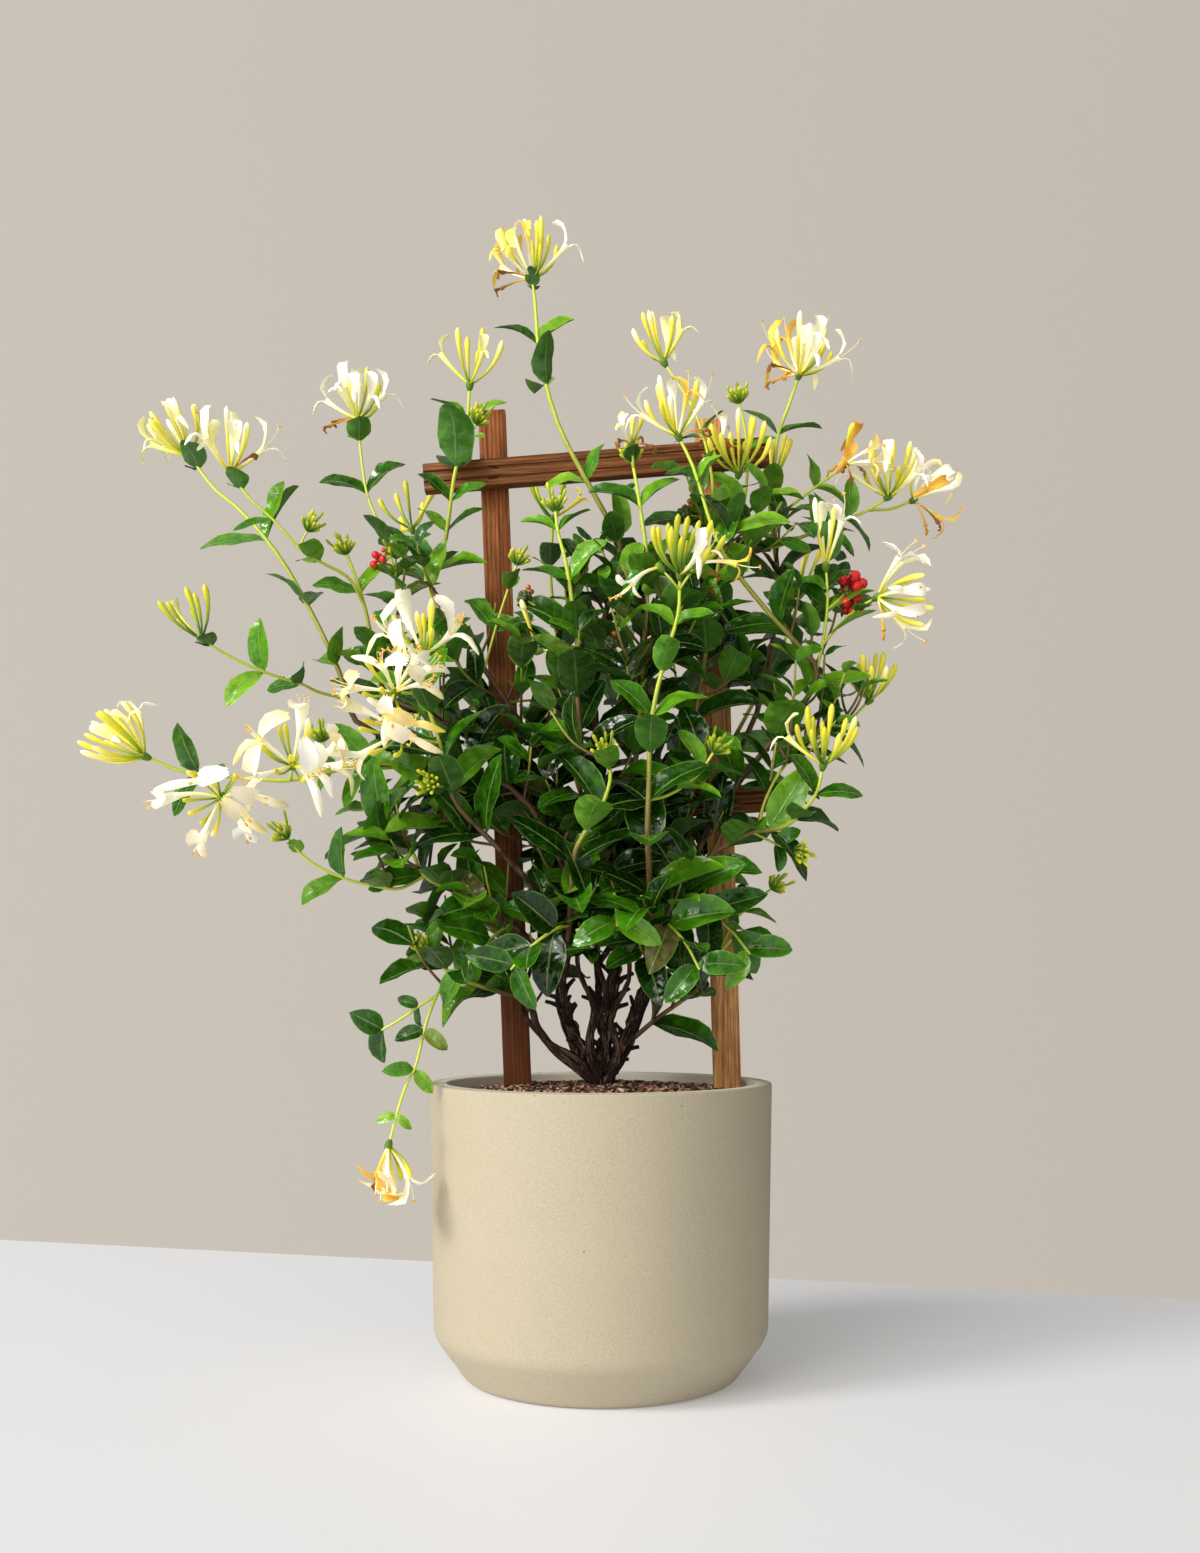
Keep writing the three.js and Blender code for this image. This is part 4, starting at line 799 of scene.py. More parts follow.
         (90, -74, 639), (82, -76, 659), (76, -76, 679), (68, -74, 704), (60, -72, 721)],
        [(2.4, 59, 10), (3.1, 57, 100), (4.1, 48, 10), (6.8, 44, 20), (8.6, 38, 60, True), (10, 40, 150),
         (12.4, 30, 20, True)],
        side_shoot(
            [(82, -76, 659), (86, -40, 703), (74, -14, 764), (52, -6, 803)], [(1.6, 30, 30)],
            bloom=head("arch_bloom_back", 5, 1, 48, 62, (-0.15, -0.1, 1))),
        side_shoot(
            [(167, -42, 555), (171, -44, 573), (174, -48, 599), (174, -50, 614), (173, -50, 628)],
            [(1.9, 40, 10), (3, 26, 0, True)], bloom=head("tall_tube_bloom", 1, 2, 54, 34, (0, -0.2, 1))),
        side_shoot([(174, -48, 599), (183, -46, 607), (190, -43, 615)], [], berries=8),
        side_shoot(
            [(171, -44, 573), (187, -50, 591), (199, -56, 600), (207, -60, 604)], [(1.6, 28, 80)],
            bloom=head("right_side_bloom", 3, 3, 50, 75, (0.9, -0.2, 0))),
        bloom=head("arch_bloom", 4, 2, 48, 66, (-0.1, -0.4, 0.9))),
    vine_stem(
        "right_low", 1, 3,
        [(39, -12, 318), (58, -35, 365), (80, -48, 405), (115, -60, 427), (135, -66, 429),
         (150, -74, 439), (162, -80, 456), (165, -84, 471)],
        [(1.6, 61, 10), (2.5, 59, 90), (3.6, 55, 0), (4.6, 44, 90), (5.8, 38, 0)],
        side_shoot(
            [(62, -38, 373), (80, -56, 366), (98, -68, 352), (112, -76, 334)],
            [(1, 52, 20), (2, 48, 100), (2.8, 36, 0)]),
        side_shoot(
            [(120, -61, 428), (124, -62, 448), (141, -50, 479), (165, -30, 500), (195, -14, 518),
             (211, -8, 534)],
            [(1.2, 46, 10), (2.3, 48, 80), (3.4, 42, 0)],
            bloom=head("right_club_high", 6, 0, 45, 60, (0.05, -0.2, 1))),
        bloom=head("right_club_low", 6, 1, 50, 66, (0.05, -0.3, 1))),
    vine_stem(
        "right_back", 2, 3.2,
        [(39, -12, 318), (58, 25, 371), (82, 52, 447), (128, 52, 531), (144, 20, 629), (140, 18, 674),
         (137, 17, 703), (141, 14, 737), (143, 12, 754), (153, 18, 782), (160, 22, 803)],
        [(2.4, 59, 10), (3.1, 59, 100), (4.2, 52, 10), (6, 42, 90), (8, 38, 0)],
        bloom=head("right_top_bloom", 3, 5, 50, 80, (0.1, -0.2, 1))),
    vine_stem(
        "side", 2, 3,
        [(14, -6, 334), (32, -4, 400), (40, -8, 480), (34, -14, 560), (34, -16, 615), (46, -12, 643),
         (71, -8, 652), (100, -4, 654), (128, 2, 658), (170, 12, 675), (199, 22, 689), (219, 30, 699),
         (233, 34, 709)],
        [(2.5, 55, 20), (3.4, 48, 100), (4.4, 42, 10), (6.3, 44, 90), (8, 42, 80), (9.1, 40, 10),
         (10, 38, 160)],
        side_shoot(
            [(100, -4, 654), (140, 2, 684), (165, 16, 707), (185, 22, 723), (197, 26, 733)],
            [(1, 38, 60), (2.4, 34, 0)],
            bloom=head("side_bloom_withered", 1, 3, 39, 75, (0.3, -0.3, 0.5), 0.5)),
        side_shoot(
            [(219, 30, 699), (241, 42, 704), (257, 50, 712)], [],
            bloom=head("side_bloom_cream", 0, 4, 43, 75, (0.7, -0.3, 0.3), 0.3)),
        bloom=head("side_bloom", 4, 4, 52, 72, (0, -0.2, 1))),
    vine_stem(
        "back_left", 1, 3,
        [(-3, 55, 327), (-35, 80, 399), (-79, 105, 487), (-115, 118, 568), (-135, 124, 615),
         (-152, 122, 660), (-164, 114, 704)],
        [(1.5, 61, 80), (2.5, 61, 0), (3.7, 52, 90), (5.1, 38, 0)],
        side_shoot(
            [(-79, 105, 487), (-110, 95, 512), (-146, 84, 530), (-178, 76, 540)],
            [(1.3, 55, 20), (2.6, 42, 100)]),
        bloom=head("back_left_bloom", 4, 2, 48, 66, (-0.2, 0.3, 1))),
    vine_stem(
        "back_up", 1, 3,
        [(-3, 55, 327), (-9, 90, 417), (-20, 112, 492), (-32, 124, 560), (-38, 126, 617), (-44, 120, 665),
         (-42, 112, 712)],
        [(1.5, 63, 0), (2.6, 61, 90), (3.8, 52, 0), (5.2, 40, 90)],
        side_shoot(
            [(-20, 112, 492), (6, 100, 530), (18, 88, 570), (20, 78, 610)],
            [(1.4, 55, 20), (2.6, 42, 100)]),
        bloom=head("back_top_bloom", 5, 1, 48, 62, (0, 0.3, 1))),
    vine_stem(
        "back_right", 1, 3,
        [(-3, 55, 327), (42, 80, 391), (90, 100, 478), (134, 108, 558), (158, 108, 605), (172, 102, 645)],
        [(1.4, 61, 80), (2.4, 61, 0), (3.4, 54, 90), (4.4, 40, 0)],
        side_shoot(
            [(90, 100, 478), (74, 112, 540), (62, 116, 600), (58, 108, 650)],
            [(1.2, 57, 20), (2.4, 46, 100)]),
        bloom=head("back_right_bloom", 4, 2, 48, 70, (0.4, 0.4, 0.9))),
    vine_stem(
        "back_low", 1, 3,
        [(-3, 55, 327), (-1, 96, 352), (14, 126, 382), (42, 146, 410), (76, 156, 432)],
        [(1.6, 61, 0), (2.7, 59, 90), (3.6, 44, 0)],
        side_shoot(
            [(14, 126, 382), (-16, 144, 408), (-48, 152, 440), (-70, 150, 476)],
            [(1.2, 59, 20), (2.4, 48, 100)])),
]


def unit(direction):
    return direction / np.linalg.norm(direction)


def square_to(direction, along):
    """The part of one direction that stands square to another."""
    return unit(direction - along * np.dot(direction, along))


def chance(key):
    """A repeatable draw between 0 and 1 for each key."""
    wave = math.sin(key * 12.9898) * 43758.5453
    return wave - math.floor(wave)


class VineLine:
    """The smooth line through a stem's points, read by a place that counts the points from 0."""

    def __init__(self, points):
        self.points = np.array(points, float)
        self.last = len(points) - 1

    def at(self, place):
        first = min(int(place), self.last - 1)
        share = place - first
        start, end = self.points[first], self.points[first + 1]
        before = self.points[first - 1] if first > 0 else 2 * start - end
        after = self.points[first + 2] if first + 2 <= self.last else 2 * end - start
        runs = (before, start), (start, end), (end, after)
        near, own, far = [math.sqrt(np.linalg.norm(b - a)) for a, b in runs]
        leave = ((start - before) / near - (end - before) / (near + own) + (end - start) / own) * own
        reach = ((end - start) / own - (after - start) / (own + far) + (after - end) / far) * own
        bend = 3 * (end - start) - 2 * leave - reach
        settle = 2 * (start - end) + leave + reach
        return start + share * (leave + share * (bend + share * settle))

    def along(self, place):
        low = max(place - 0.0001 * self.last, 0)
        high = min(place + 0.0001 * self.last, self.last)
        return unit(self.at(high) - self.at(low))

    def inside(self, place):
        """A place on the straight run between two of the line's points."""
        before, after = self.at(int(place)), self.at(min(int(place) + 1, self.last))
        return before + (after - before) * (place - int(place))

    def tip(self):
        """Where the line ends, and the way in which it points there."""
        return self.at(self.last), self.along(self.last)


def model_rod(name, sides, rows):
    """A round rod of unit radius, with its rows one apart, to be laid along lines."""
    return read_shape(turn_on_wheel(name, [(1, row) for row in range(rows + 1)], sides))


def lay_rows(shape, centres, sides, thirds, widths, heights):
    """The master's points in place: each row at its own centre, as wide and as high as it should be."""
    x, y = shape["points"].T[:2]
    row = shape["row"]
    aside, aloft = (x * widths[row])[:, None], (y * heights[row])[:, None]
    return centres[row] + sides[row] * aside + thirds[row] * aloft


def spread_over(places, values):
    """The values, spread evenly over a run of places."""
    return np.interp(places, np.linspace(places[0], places[-1], len(values)), values)


def lay_stem(shape, line, start, end, radii, youth):
    """A rod along a stem's line. Its radii and the youth of its bark are spread evenly over it."""
    row = shape["row"]
    places = np.linspace(start, end, row.max() + 1)
    centres = np.array([line.at(place) for place in places])
    tangents = np.array([line.along(place) for place in places])
    sides = [square_to(FRONT, tangents[0])]
    for along in tangents:
        sides.append(square_to(sides[-1], along))
    sides = np.array(sides[1:])
    radius = spread_over(places, radii)
    run = np.concatenate(([0], np.cumsum(np.linalg.norm(np.diff(centres, axis=0), axis=1))))
    points = lay_rows(shape, centres, sides, np.cross(tangents, sides), radius, radius)
    return shape, points * MM, {
        "youth": spread_over(places, youth)[row], "round_x": shape["points"][:, 0],
        "round_y": shape["points"][:, 1], "run": run[row] * MM}


def roughen(copy, amount, seed):
    """Makes a laid rod knobbly, with ridges that wind along it."""
    shape, points, marks = copy
    x, y, run, row = marks["round_x"], marks["round_y"], marks["run"] / MM, shape["row"]
    ridge = np.sin(3 * np.arctan2(y, x) + 0.11 * run + seed)
    ridge += 0.7 * np.sin(0.31 * run + 2.3 * x + 1.7 * seed)
    knob = np.sin(0.17 * run + 4.1 * seed + 2 * y) * np.sin(0.53 * run + seed)
    middle = np.array([points[row == number].mean(axis=0) for number in range(row.max() + 1)])[row]
    return shape, middle + (points - middle) * (1 + amount * (ridge + knob))[:, None], marks


def green_radius(stem):
    """The radius at the point where a stem's brown wood ends and its green shoot begins."""
    full = stem["thick"] + (TIP_RADIUS - stem["thick"]) * stem["bark"] / stem["line"].last
    return full * GREEN_SHARE


def arched(start, end, rise):
    """A short line between two points whose middle is lifted."""
    return VineLine([start, (start + end) / 2 + rise, end])


for number, stem in enumerate(stems):
    stem["branches"] = [stem, *stem["sides"]]
    for fork, branch in enumerate(stem["branches"]):
        branch["line"] = VineLine(branch["points"])
        branch["key"] = number + fork / 10
all_branches = [branch for stem in stems for branch in stem["branches"]]

# Thin old twigs that wind up from the trunk between the limbs.
old_twigs = [
    [(-4, -6, 228), (-16, -20, 250), (-44, -24, 268), (-62, -16, 292), (-54, -4, 330)],
    [(-2, -8, 230), (-10, -22, 262), (-6, -30, 292), (-18, -36, 326), (-12, -44, 366)],
    [(3, -7, 230), (14, -20, 256), (8, -28, 284), (22, -34, 316), (18, -40, 356)],
    [(4, 3, 230), (22, 10, 258), (34, 22, 290), (52, 26, 330), (58, 34, 372)],
    [(-5, 4, 230), (-22, 14, 258), (-34, 20, 292), (-36, 34, 332), (-52, 40, 372)],
    [(0, -6, 232), (-8, -14, 270), (4, -22, 300), (-4, -24, 336), (6, -30, 380)],
    [(2, 4, 230), (12, 14, 262), (4, 26, 300), (14, 34, 346), (8, 44, 392)],
]
wood_rod = model_rod("wood_rod", 12, 30)
trunk_line = VineLine([(1, -1, 189), (-1, 1, 205), (1, 0, 222), (0, 0, 238)])
old_wood = [roughen(lay_stem(wood_rod, trunk_line, 0, 3, (10.5, 12.5), (0, 0)), 0.08, 1)]
for number, limb in enumerate(limbs):
    limb["line"] = VineLine(limb["points"])
    limb_radii = limb["thick"] * 0.70, limb["thin"] * 0.62
    limb_copy = lay_stem(wood_rod, limb["line"], 0, limb["line"].last, limb_radii, (0, 0.05))
    old_wood.append(roughen(limb_copy, 0.27, number + 2))
for number, stem in enumerate(stems):
    stem_radii = stem["thick"] * 0.95, green_radius(stem)
    stem_copy = lay_stem(wood_rod, stem["line"], 0, stem["bark"], stem_radii, (0.05, 0.4))
    old_wood.append(roughen(stem_copy, 0.05, number + 7))
for number, points in enumerate(old_twigs):
    old_twig = lay_stem(wood_rod, VineLine(points), 0, len(points) - 1, (2.9, 2.2, 1.5), (0, 0.1, 0.3))
    old_wood.append(roughen(old_twig, 0.12, number + 31))
for number in range(STUB_COUNT):
    limb_line = limbs[number % len(limbs)]["line"]
    place = 0.5 + 2.3 * chance(number + 0.3)
    start, along = limb_line.at(place), limb_line.along(place)
    out = square_to(np.array((math.cos(2.4 * number), math.sin(2.4 * number), 0.2)), along)
    stub_end = start + (out + 0.7 * along) * (9 + 8 * chance(number + 0.7))
    stub_copy = lay_stem(wood_rod, arched(start, stub_end, along), 0, 2, (2.4, 1.4), (0, 0))
    old_wood.append(roughen(stub_copy, 0.12, number))
woody_stems = join_copies("old_wood", old_wood)


def round_place(finish, stretch):
    """A place on the round of a stem and along its run, for the fibres that follow it."""
    run = reckon("MULTIPLY", read_mark(finish, "run"), stretch)
    x, y = read_mark(finish, "round_x"), read_mark(finish, "round_y")
    return add_node("CombineXYZ", X=x, Y=y, Z=run).outputs[0]


bark_finish = new_finish("peeling_bark", 0.85, Specular_IOR_Level=0.3)
bark_fibre = noise(round_place(bark_finish, 22.0), 4.0, 5.0, 0.72)
bark_flake = add_node("TexVoronoi", Vector=object_place(bark_finish, (1, 1, 0.3)), Scale=260.0)
old_bark = colour_steps(bark_fibre, [
    (0.38, (0.003, 0.002, 0.002)), (0.50, (0.020, 0.009, 0.007)), (0.57, (0.15, 0.070, 0.050)),
    (0.66, (0.60, 0.42, 0.31))])
young_bark = colour_steps(bark_fibre, [
    (0.30, (0.055, 0.025, 0.012)), (0.6, (0.16, 0.085, 0.040)), (0.8, (0.26, 0.17, 0.08))])
feed_shader("Base Color", blend_colours(read_mark(bark_finish, "youth"), old_bark, young_bark))
flaked = reckon("MULTIPLY", bark_flake.outputs["Distance"], 0.7)
add_bump(reckon("ADD", bark_fibre, flaked), 0.0028)
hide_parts("woody_stems")
finish_piece(woody_stems, bark_finish, 70)

# ---------------------------------------------------------------- green shoots and their leaves
# Each shoot is a thin green stem, brown towards the old wood. It carries its leaves in opposite pairs: oval
# blades, folded a little along the midrib, shiny dark green above and dull grey-green below.

LEAF_WIDTH = 0.245
BROAD_LEAF_WIDTH = 0.37
LEAF_THICKNESS = 0.17
LEAF_SPREAD = 55
LEAF_ARCH = 0.08
LEAF_DROOP = 0.1
LEAF_ROWS = np.array((0, 0.06, 0.13, 0.25, 0.41, 0.59, 0.76, 0.90, 1))
LEAF_OUTLINE = np.array((0.05, 0.12, 0.52, 0.88, 1, 0.97, 0.79, 0.46, 0.03))
BROAD_OUTLINE = np.array((0.16, 0.42, 0.70, 0.93, 1, 0.90, 0.66, 0.34, 0.03))
LEAF_TRIES = [(0, 1), (25, 1), (-25, 1), (50, 0.92), (-50, 0.92), (80, 0.84), (0, 0.7), (90, 0.7)]
# The bush's middle and its reach above and below: leaves are painted darker towards the middle and low
# down, as painted shade inside the bush.
BUSH_MIDDLE = np.array((15, 10, 455))
BUSH_ABOVE = np.array((215, 175, 260))
BUSH_BELOW = np.array((215, 175, 900))
FADED_BELOW = -120
TIP_TOLERANCE = 0.0002
BARK_OVERLAP = 0.03
SHOOT_TIP = 1.15
SHOOT_YOUTH = (0.06, 0.30, 0.72, 1)
SIDE_RADII = (1.3, 1.0)
SIDE_YOUTH = (0.6, 1)


def model_blade(name, columns, rows):
    """A thin closed blade one unit wide each way and one unit thick, with its rows one apart."""
    bpy.ops.mesh.primitive_grid_add(x_subdivisions=columns, y_subdivisions=rows, size=2)
    blade = bpy.context.object
    blade.name = name
    blade.scale.y = rows / 2
    blade.rotation_euler.x = math.radians(90)
    blade.location = (0, -1, rows / 2)
    bpy.ops.object.transform_apply(location=True, rotation=True, scale=True)
    bpy.ops.object.mode_set(mode="EDIT")
    bpy.ops.mesh.select_all(action="SELECT")
    bpy.ops.mesh.extrude_region_move(TRANSFORM_OT_translate={"value": (0, 2, 0)})
    bpy.ops.object.mode_set(mode="OBJECT")
    for spot in blade.data.vertices:
        if abs(spot.co.x) > 0.99 or not 0.01 < spot.co.z < rows - 0.01:
            spot.co.y = 0
    bpy.ops.object.mode_set(mode="EDIT")
    bpy.ops.mesh.select_all(action="SELECT")
    bpy.ops.mesh.remove_doubles(threshold=0.001)
    bpy.ops.mesh.normals_make_consistent(inside=False)
    bpy.ops.object.mode_set(mode="OBJECT")
    return read_shape(blade)


def on_curve(curve, share):
    """The points and the ways ahead of a curve of three points, at the given shares of its run."""
    root, middle, tip = curve
    share = np.atleast_1d(share)[:, None]
    points = root * (1 - share) ** 2 + middle * (2 * share * (1 - share)) + tip * share ** 2
    ahead = (middle - root) * (1 - share) + (tip - middle) * share
    return points, ahead / np.linalg.norm(ahead, axis=1)[:, None]


def lay_blade(shape, rows, curve, across, width, outline, thickness, fold, ripple, twist, seed, lobes=0.0):
    """A blade along a curve of three points. It is folded, rippled and twisted by the given amounts."""
    centres, tangents = on_curve(curve, rows)
    flat = -across - tangents * (tangents @ -across)[:, None]
    flat /= np.linalg.norm(flat, axis=1)[:, None]
    above = np.cross(tangents, flat)
    turn = twist * rows[:, None]
    sides = flat * np.cos(turn) + above * np.sin(turn)
    thirds = above * np.cos(turn) - flat * np.sin(turn)
    points = lay_rows(shape, centres, sides, thirds, width * outline, np.full(len(outline), thickness))
    x, y = shape["points"].T[:2]
    row = shape["row"]
    along = rows[row]
    wave = np.sin(9.0 * along + 3.1 * np.sign(x) + 6.28 * seed)
    lift = (fold * (0.45 * np.abs(x) + 0.75 * x * x) + ripple * wave * x * x) * width * outline[row]
    notch = lobes * np.cos(3 * math.pi * x) * along ** 4
    points = points + thirds[row] * lift[:, None] + tangents[row] * notch[:, None]
    return points, {"across": x, "along": along, "upper": 0.5 + 0.5 * y, "seed": seed}


def leaf_line(line, place, length, turn):
    """A leaf's middle line, arched over its root and drooping at its tip, and the way of its width."""
    root, along = line.inside(place), line.along(place)
    right = unit(np.cross(along, FRONT))
    toward = np.cross(right, along)
    spread = math.radians(LEAF_SPREAD + 16 * (chance(place + length) - 0.5))
    out = right * math.cos(math.radians(turn)) + toward * math.sin(math.radians(turn))
    axis = along * math.cos(spread) + out * math.sin(spread)
    light = unit(root * (1, 1, 0)) if root[1] > 40 else FRONT
    face = square_to(0.4 * along + 0.5 * UP + 0.5 * light, axis)
    middle = root + axis * (length / 2) + face * (LEAF_ARCH * length)
    tip = root + axis * length - face * (LEAF_DROOP * length)
    return (root, middle, tip), unit(np.cross(axis, face))


def leaf_middle(curve):
    return curve[1] * 0.5 + curve[0] * 0.2 + curve[2] * 0.3


def make_leaf(curve, across, length, broad, youth, fresh=0.0):
    """One leaf in place. Leaves deep in the bush and low in it are painted darker than those outside, as
    painted shade, and young ones paler.
    """
    seed = chance(float(curve[2].sum()))
    width = length * (BROAD_LEAF_WIDTH if broad else LEAF_WIDTH) * (0.90 + 0.2 * seed)
    outline = BROAD_OUTLINE if broad else LEAF_OUTLINE
    fold = 0.06 + 0.44 * chance(seed * 3)
    ripple = 0.05 + 0.16 * chance(seed * 5)
    twist = chance(seed * 7) - 0.5
    root, middle, tip = curve
    face = np.cross(across, unit(tip - root))
    curve = root, middle + face * length * 0.17 * (chance(seed * 13) - 0.25), tip
    points, marks = lay_blade(
        leaf_blade, LEAF_ROWS, curve, across, width, outline, LEAF_THICKNESS, fold, ripple, twist, seed)
    # Painted shade: the deeper in the bush or the lower down, the darker the leaf.
    place = tip - BUSH_MIDDLE
    outside = min(1.0, np.linalg.norm(place / (BUSH_ABOVE if place[2] > 0 else BUSH_BELOW)))
    small = min(1.0, max(0.0, (44 - length) / 22))
    tone = 0.16 + 0.27 * outside ** 2 + (0.0 if broad else 0.20 * small * youth)
    marks["tone"] = min(0.74, tone + 0.60 * (chance(seed * 11) - 0.45) + fresh)
    faded = place[0] < 30 and chance(seed * 17) > (0.74 if place[2] < FADED_BELOW else 0.94)
    marks["old"] = 0.8 * chance(seed * 19) if faded and youth < 0.5 else 0.0
    leaf_middles.append(leaf_middle(curve))
    return leaf_blade, points * MM, marks


def find_leaf(line, place, length, turn, leaf_tips):
    """The way in which the model's leaf found room, known by its tip, or nothing if it found none."""
    for offset, share in LEAF_TRIES:
        curve, across = leaf_line(line, place, length * share, turn + offset)
        if leaf_tips.find(curve[2] * MM)[2] < TIP_TOLERANCE:
            return curve, across, length * share
    return None


def grow_leaves(branch, leaf_tips):
    """The leaves of a shoot that stand in the model, in their opposite pairs."""
    line = branch["line"]
    leaves = []
    for place, length, turn, *broad in branch["pairs"]:
        for half in (0, 180):
            own = length * (1 - 0.12 * chance(place + half))
            found = find_leaf(line, place, own, turn + half, leaf_tips)
            if found:
                leaves.append(make_leaf(*found, bool(broad), place / line.last))
    return leaves


shoot_rod = model_rod("shoot_rod", 6, 22)
leaf_blade = model_blade("leaf_blade", 4, 8)
leaf_middles = []

shoot_finish = new_finish("green_stem", 0.5, Specular_IOR_Level=0.4)
shoot_fibre = noise(round_place(shoot_finish, 60.0), 2.0)
feed_shader("Base Color", colour_steps(uneven_mark(shoot_finish, "youth", shoot_fibre, 0.3), [
    (0.0, (0.050, 0.024, 0.012)), (0.2, (0.15, 0.080, 0.032)), (0.5, (0.37, 0.39, 0.050)),
    (0.75, (0.54, 0.64, 0.060)), (1.0, (0.63, 0.78, 0.085))]))
add_bump(shoot_fibre, 0.0002, 0.6)

leaf_finish = new_finish("honeysuckle_leaf", 0.4, Specular_IOR_Level=0.44)
leaf_place = object_place(leaf_finish)
leaf_across = reckon("ABSOLUTE", read_mark(leaf_finish, "across"))
leaf_upper = stretch_range(read_mark(leaf_finish, "upper"), 0.45, 0.55)
leaf_cloud = noise(leaf_place, 100.0, 3.0, 0.6)
leaf_toward_edge = reckon("MULTIPLY_ADD", leaf_across, 0.12, -0.05)
leaf_tone = reckon(
    "ADD", reckon("ADD", read_mark(leaf_finish, "tone"), leaf_toward_edge),
    reckon("MULTIPLY_ADD", leaf_cloud, 0.56, -0.29))
leaf_fresh = colour_steps(leaf_tone, [
    (0.0, (0.003, 0.019, 0.001)), (0.25, (0.013, 0.070, 0.002)), (0.48, (0.048, 0.205, 0.003)),
    (0.72, (0.155, 0.370, 0.010)), (1.0, (0.38, 0.60, 0.045))])
leaf_wear = stretch_range(noise(leaf_place, 170.0, 4.0, 0.65), 0.38, 0.56, 0.45, 1.0)
worn_share = reckon("MULTIPLY", read_mark(leaf_finish, "old"), leaf_wear)
leaf_green = blend_colours(worn_share, leaf_fresh, (0.17, 0.15, 0.040, 1))
vein_lag = reckon("MULTIPLY", leaf_across, 0.16)
vein_run = reckon("SUBTRACT", read_mark(leaf_finish, "along"), vein_lag)
vein_wave = reckon("PINGPONG", reckon("MULTIPLY", vein_run, 7.0), 0.5)
side_vein = reckon(
    "MULTIPLY", stretch_range(vein_wave, 0.0, 0.08, 0.22, 0.0),
    stretch_range(leaf_across, 0.5, 0.9, 1.0, 0.0))
midrib = stretch_range(leaf_across, 0.03, 0.09, 1.0, 0.0)
margin = stretch_range(leaf_across, 0.92, 0.98, 0.0, 1.0)
veins = reckon("MAXIMUM", side_vein, midrib)
pale_lines = reckon("MULTIPLY", reckon("MAXIMUM", veins, margin), 0.36)
veined = blend_colours(pale_lines, leaf_green, (0.36, 0.56, 0.12, 1))
leaf_back = blend_colours(0.30, veined, (0.115, 0.25, 0.055, 1))
feed_shader("Base Color", blend_colours(leaf_upper, leaf_back, veined))
leaf_shine = stretch_range(leaf_cloud, 0.3, 0.7, 0.11, 0.27)
feed_shader("Roughness", reckon("ADD", leaf_shine, reckon("MULTIPLY_ADD", leaf_upper, -0.2, 0.2)))
leaf_quilt = reckon("MULTIPLY_ADD", vein_wave, 0.02, noise(leaf_place, 85.0, 1.5))
add_bump(reckon("MULTIPLY_ADD", midrib, -0.12, leaf_quilt), 0.0036, 1.0)

for stem in stems:
    node = stem["name"] + "_shoot"
    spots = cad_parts[node].data.vertices
    leaf_tips = KDTree(len(spots))
    for number, spot in enumerate(spots):
        leaf_tips.insert(spot.co, number)
    leaf_tips.balance()
    green_start = stem["bark"] - BARK_OVERLAP
    rods = [lay_stem(shoot_rod, stem["line"], green_start, stem["line"].last,
                     (green_radius(stem), SHOOT_TIP), SHOOT_YOUTH)]
    for side in stem["sides"]:
        rods.append(lay_stem(shoot_rod, side["line"], 0, side["line"].last, SIDE_RADII, SIDE_YOUTH))
    leaves = [leaf for branch in stem["branches"] for leaf in grow_leaves(branch, leaf_tips)]
    stem_piece = join_copies(stem["name"] + "_stem", rods)
    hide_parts(node)
    finish_piece(stem_piece, shoot_finish, 70)
    leaf_piece = join_copies(stem["name"] + "_leaves", leaves)
    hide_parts(node)
    finish_piece(leaf_piece, leaf_finish, 75)

# ---------------------------------------------------------------- inner twigs and leaves
# Short twigs with two or three pairs of leaves each fill the middle of the bush, between the long shoots
# that they grow from.

LOWEST_TWIG = 262
TWIG_LENGTHS = (32, 78)
TWIG_REACH = 25
BUSH_CORE = (10, 15, 400)
# The leaf pairs of a twig: the place of each, and its leaves' share of the full length.
TWIG_PAIRS = [(0.75, 1), (1.35, 0.9), (1.95, 0.62)]
# The bush's right edge leans outwards: where it starts, from which height, and its slope.
RIGHT_EDGE = (128, 338, 0.45)
BARE_HALF_WIDTH = 17
BARE_DEPTH = 8
BARE_FOOT = 250
UPRIGHT_SLOPE = 0.04

# The parts of the bush that twigs fill: how many are tried, the middle and the reach of the part, how far
# apart its leaves stand, and their length.
twig_parts = [
    (120, (0, 14, 395), (116, 122, 125), 14.0, (36, 58)),
    (150, (20, 14, 525), (150, 126, 135), 14.0, (34, 56)),
    (100, (80, 4, 620), (126, 90, 100), 15.0, (32, 52)),
    (80, (4, -10, 318), (100, 86, 58), 13.0, (34, 50)),
    (120, (-118, -44, 440), (66, 56, 110), 15.0, (42, 60)),
    (80, (-120, -25, 590), (72, 50, 76), 16.0, (34, 54)),
    (55, (160, -20, 540), (50, 60, 100), 16.0, (30, 46)),
]

# Where the uprights stay bare between the leaves: the lath's middle at its foot, and the two heights.
bare_wood = [(-66, 240, 356), (-66, 384, 440), (97, 240, 388), (97, 404, 434)]


def on_bare_wood(spot):
    """Whether a leaf's spot would cover a bare stretch of an upright, which leans as it rises."""
    shift = (spot[2] - BARE_FOOT) * UPRIGHT_SLOPE
    return spot[1] < BARE_DEPTH and any(
        abs(spot[0] - foot + shift) < BARE_HALF_WIDTH and low < spot[2] < high
        for foot, low, high in bare_wood)


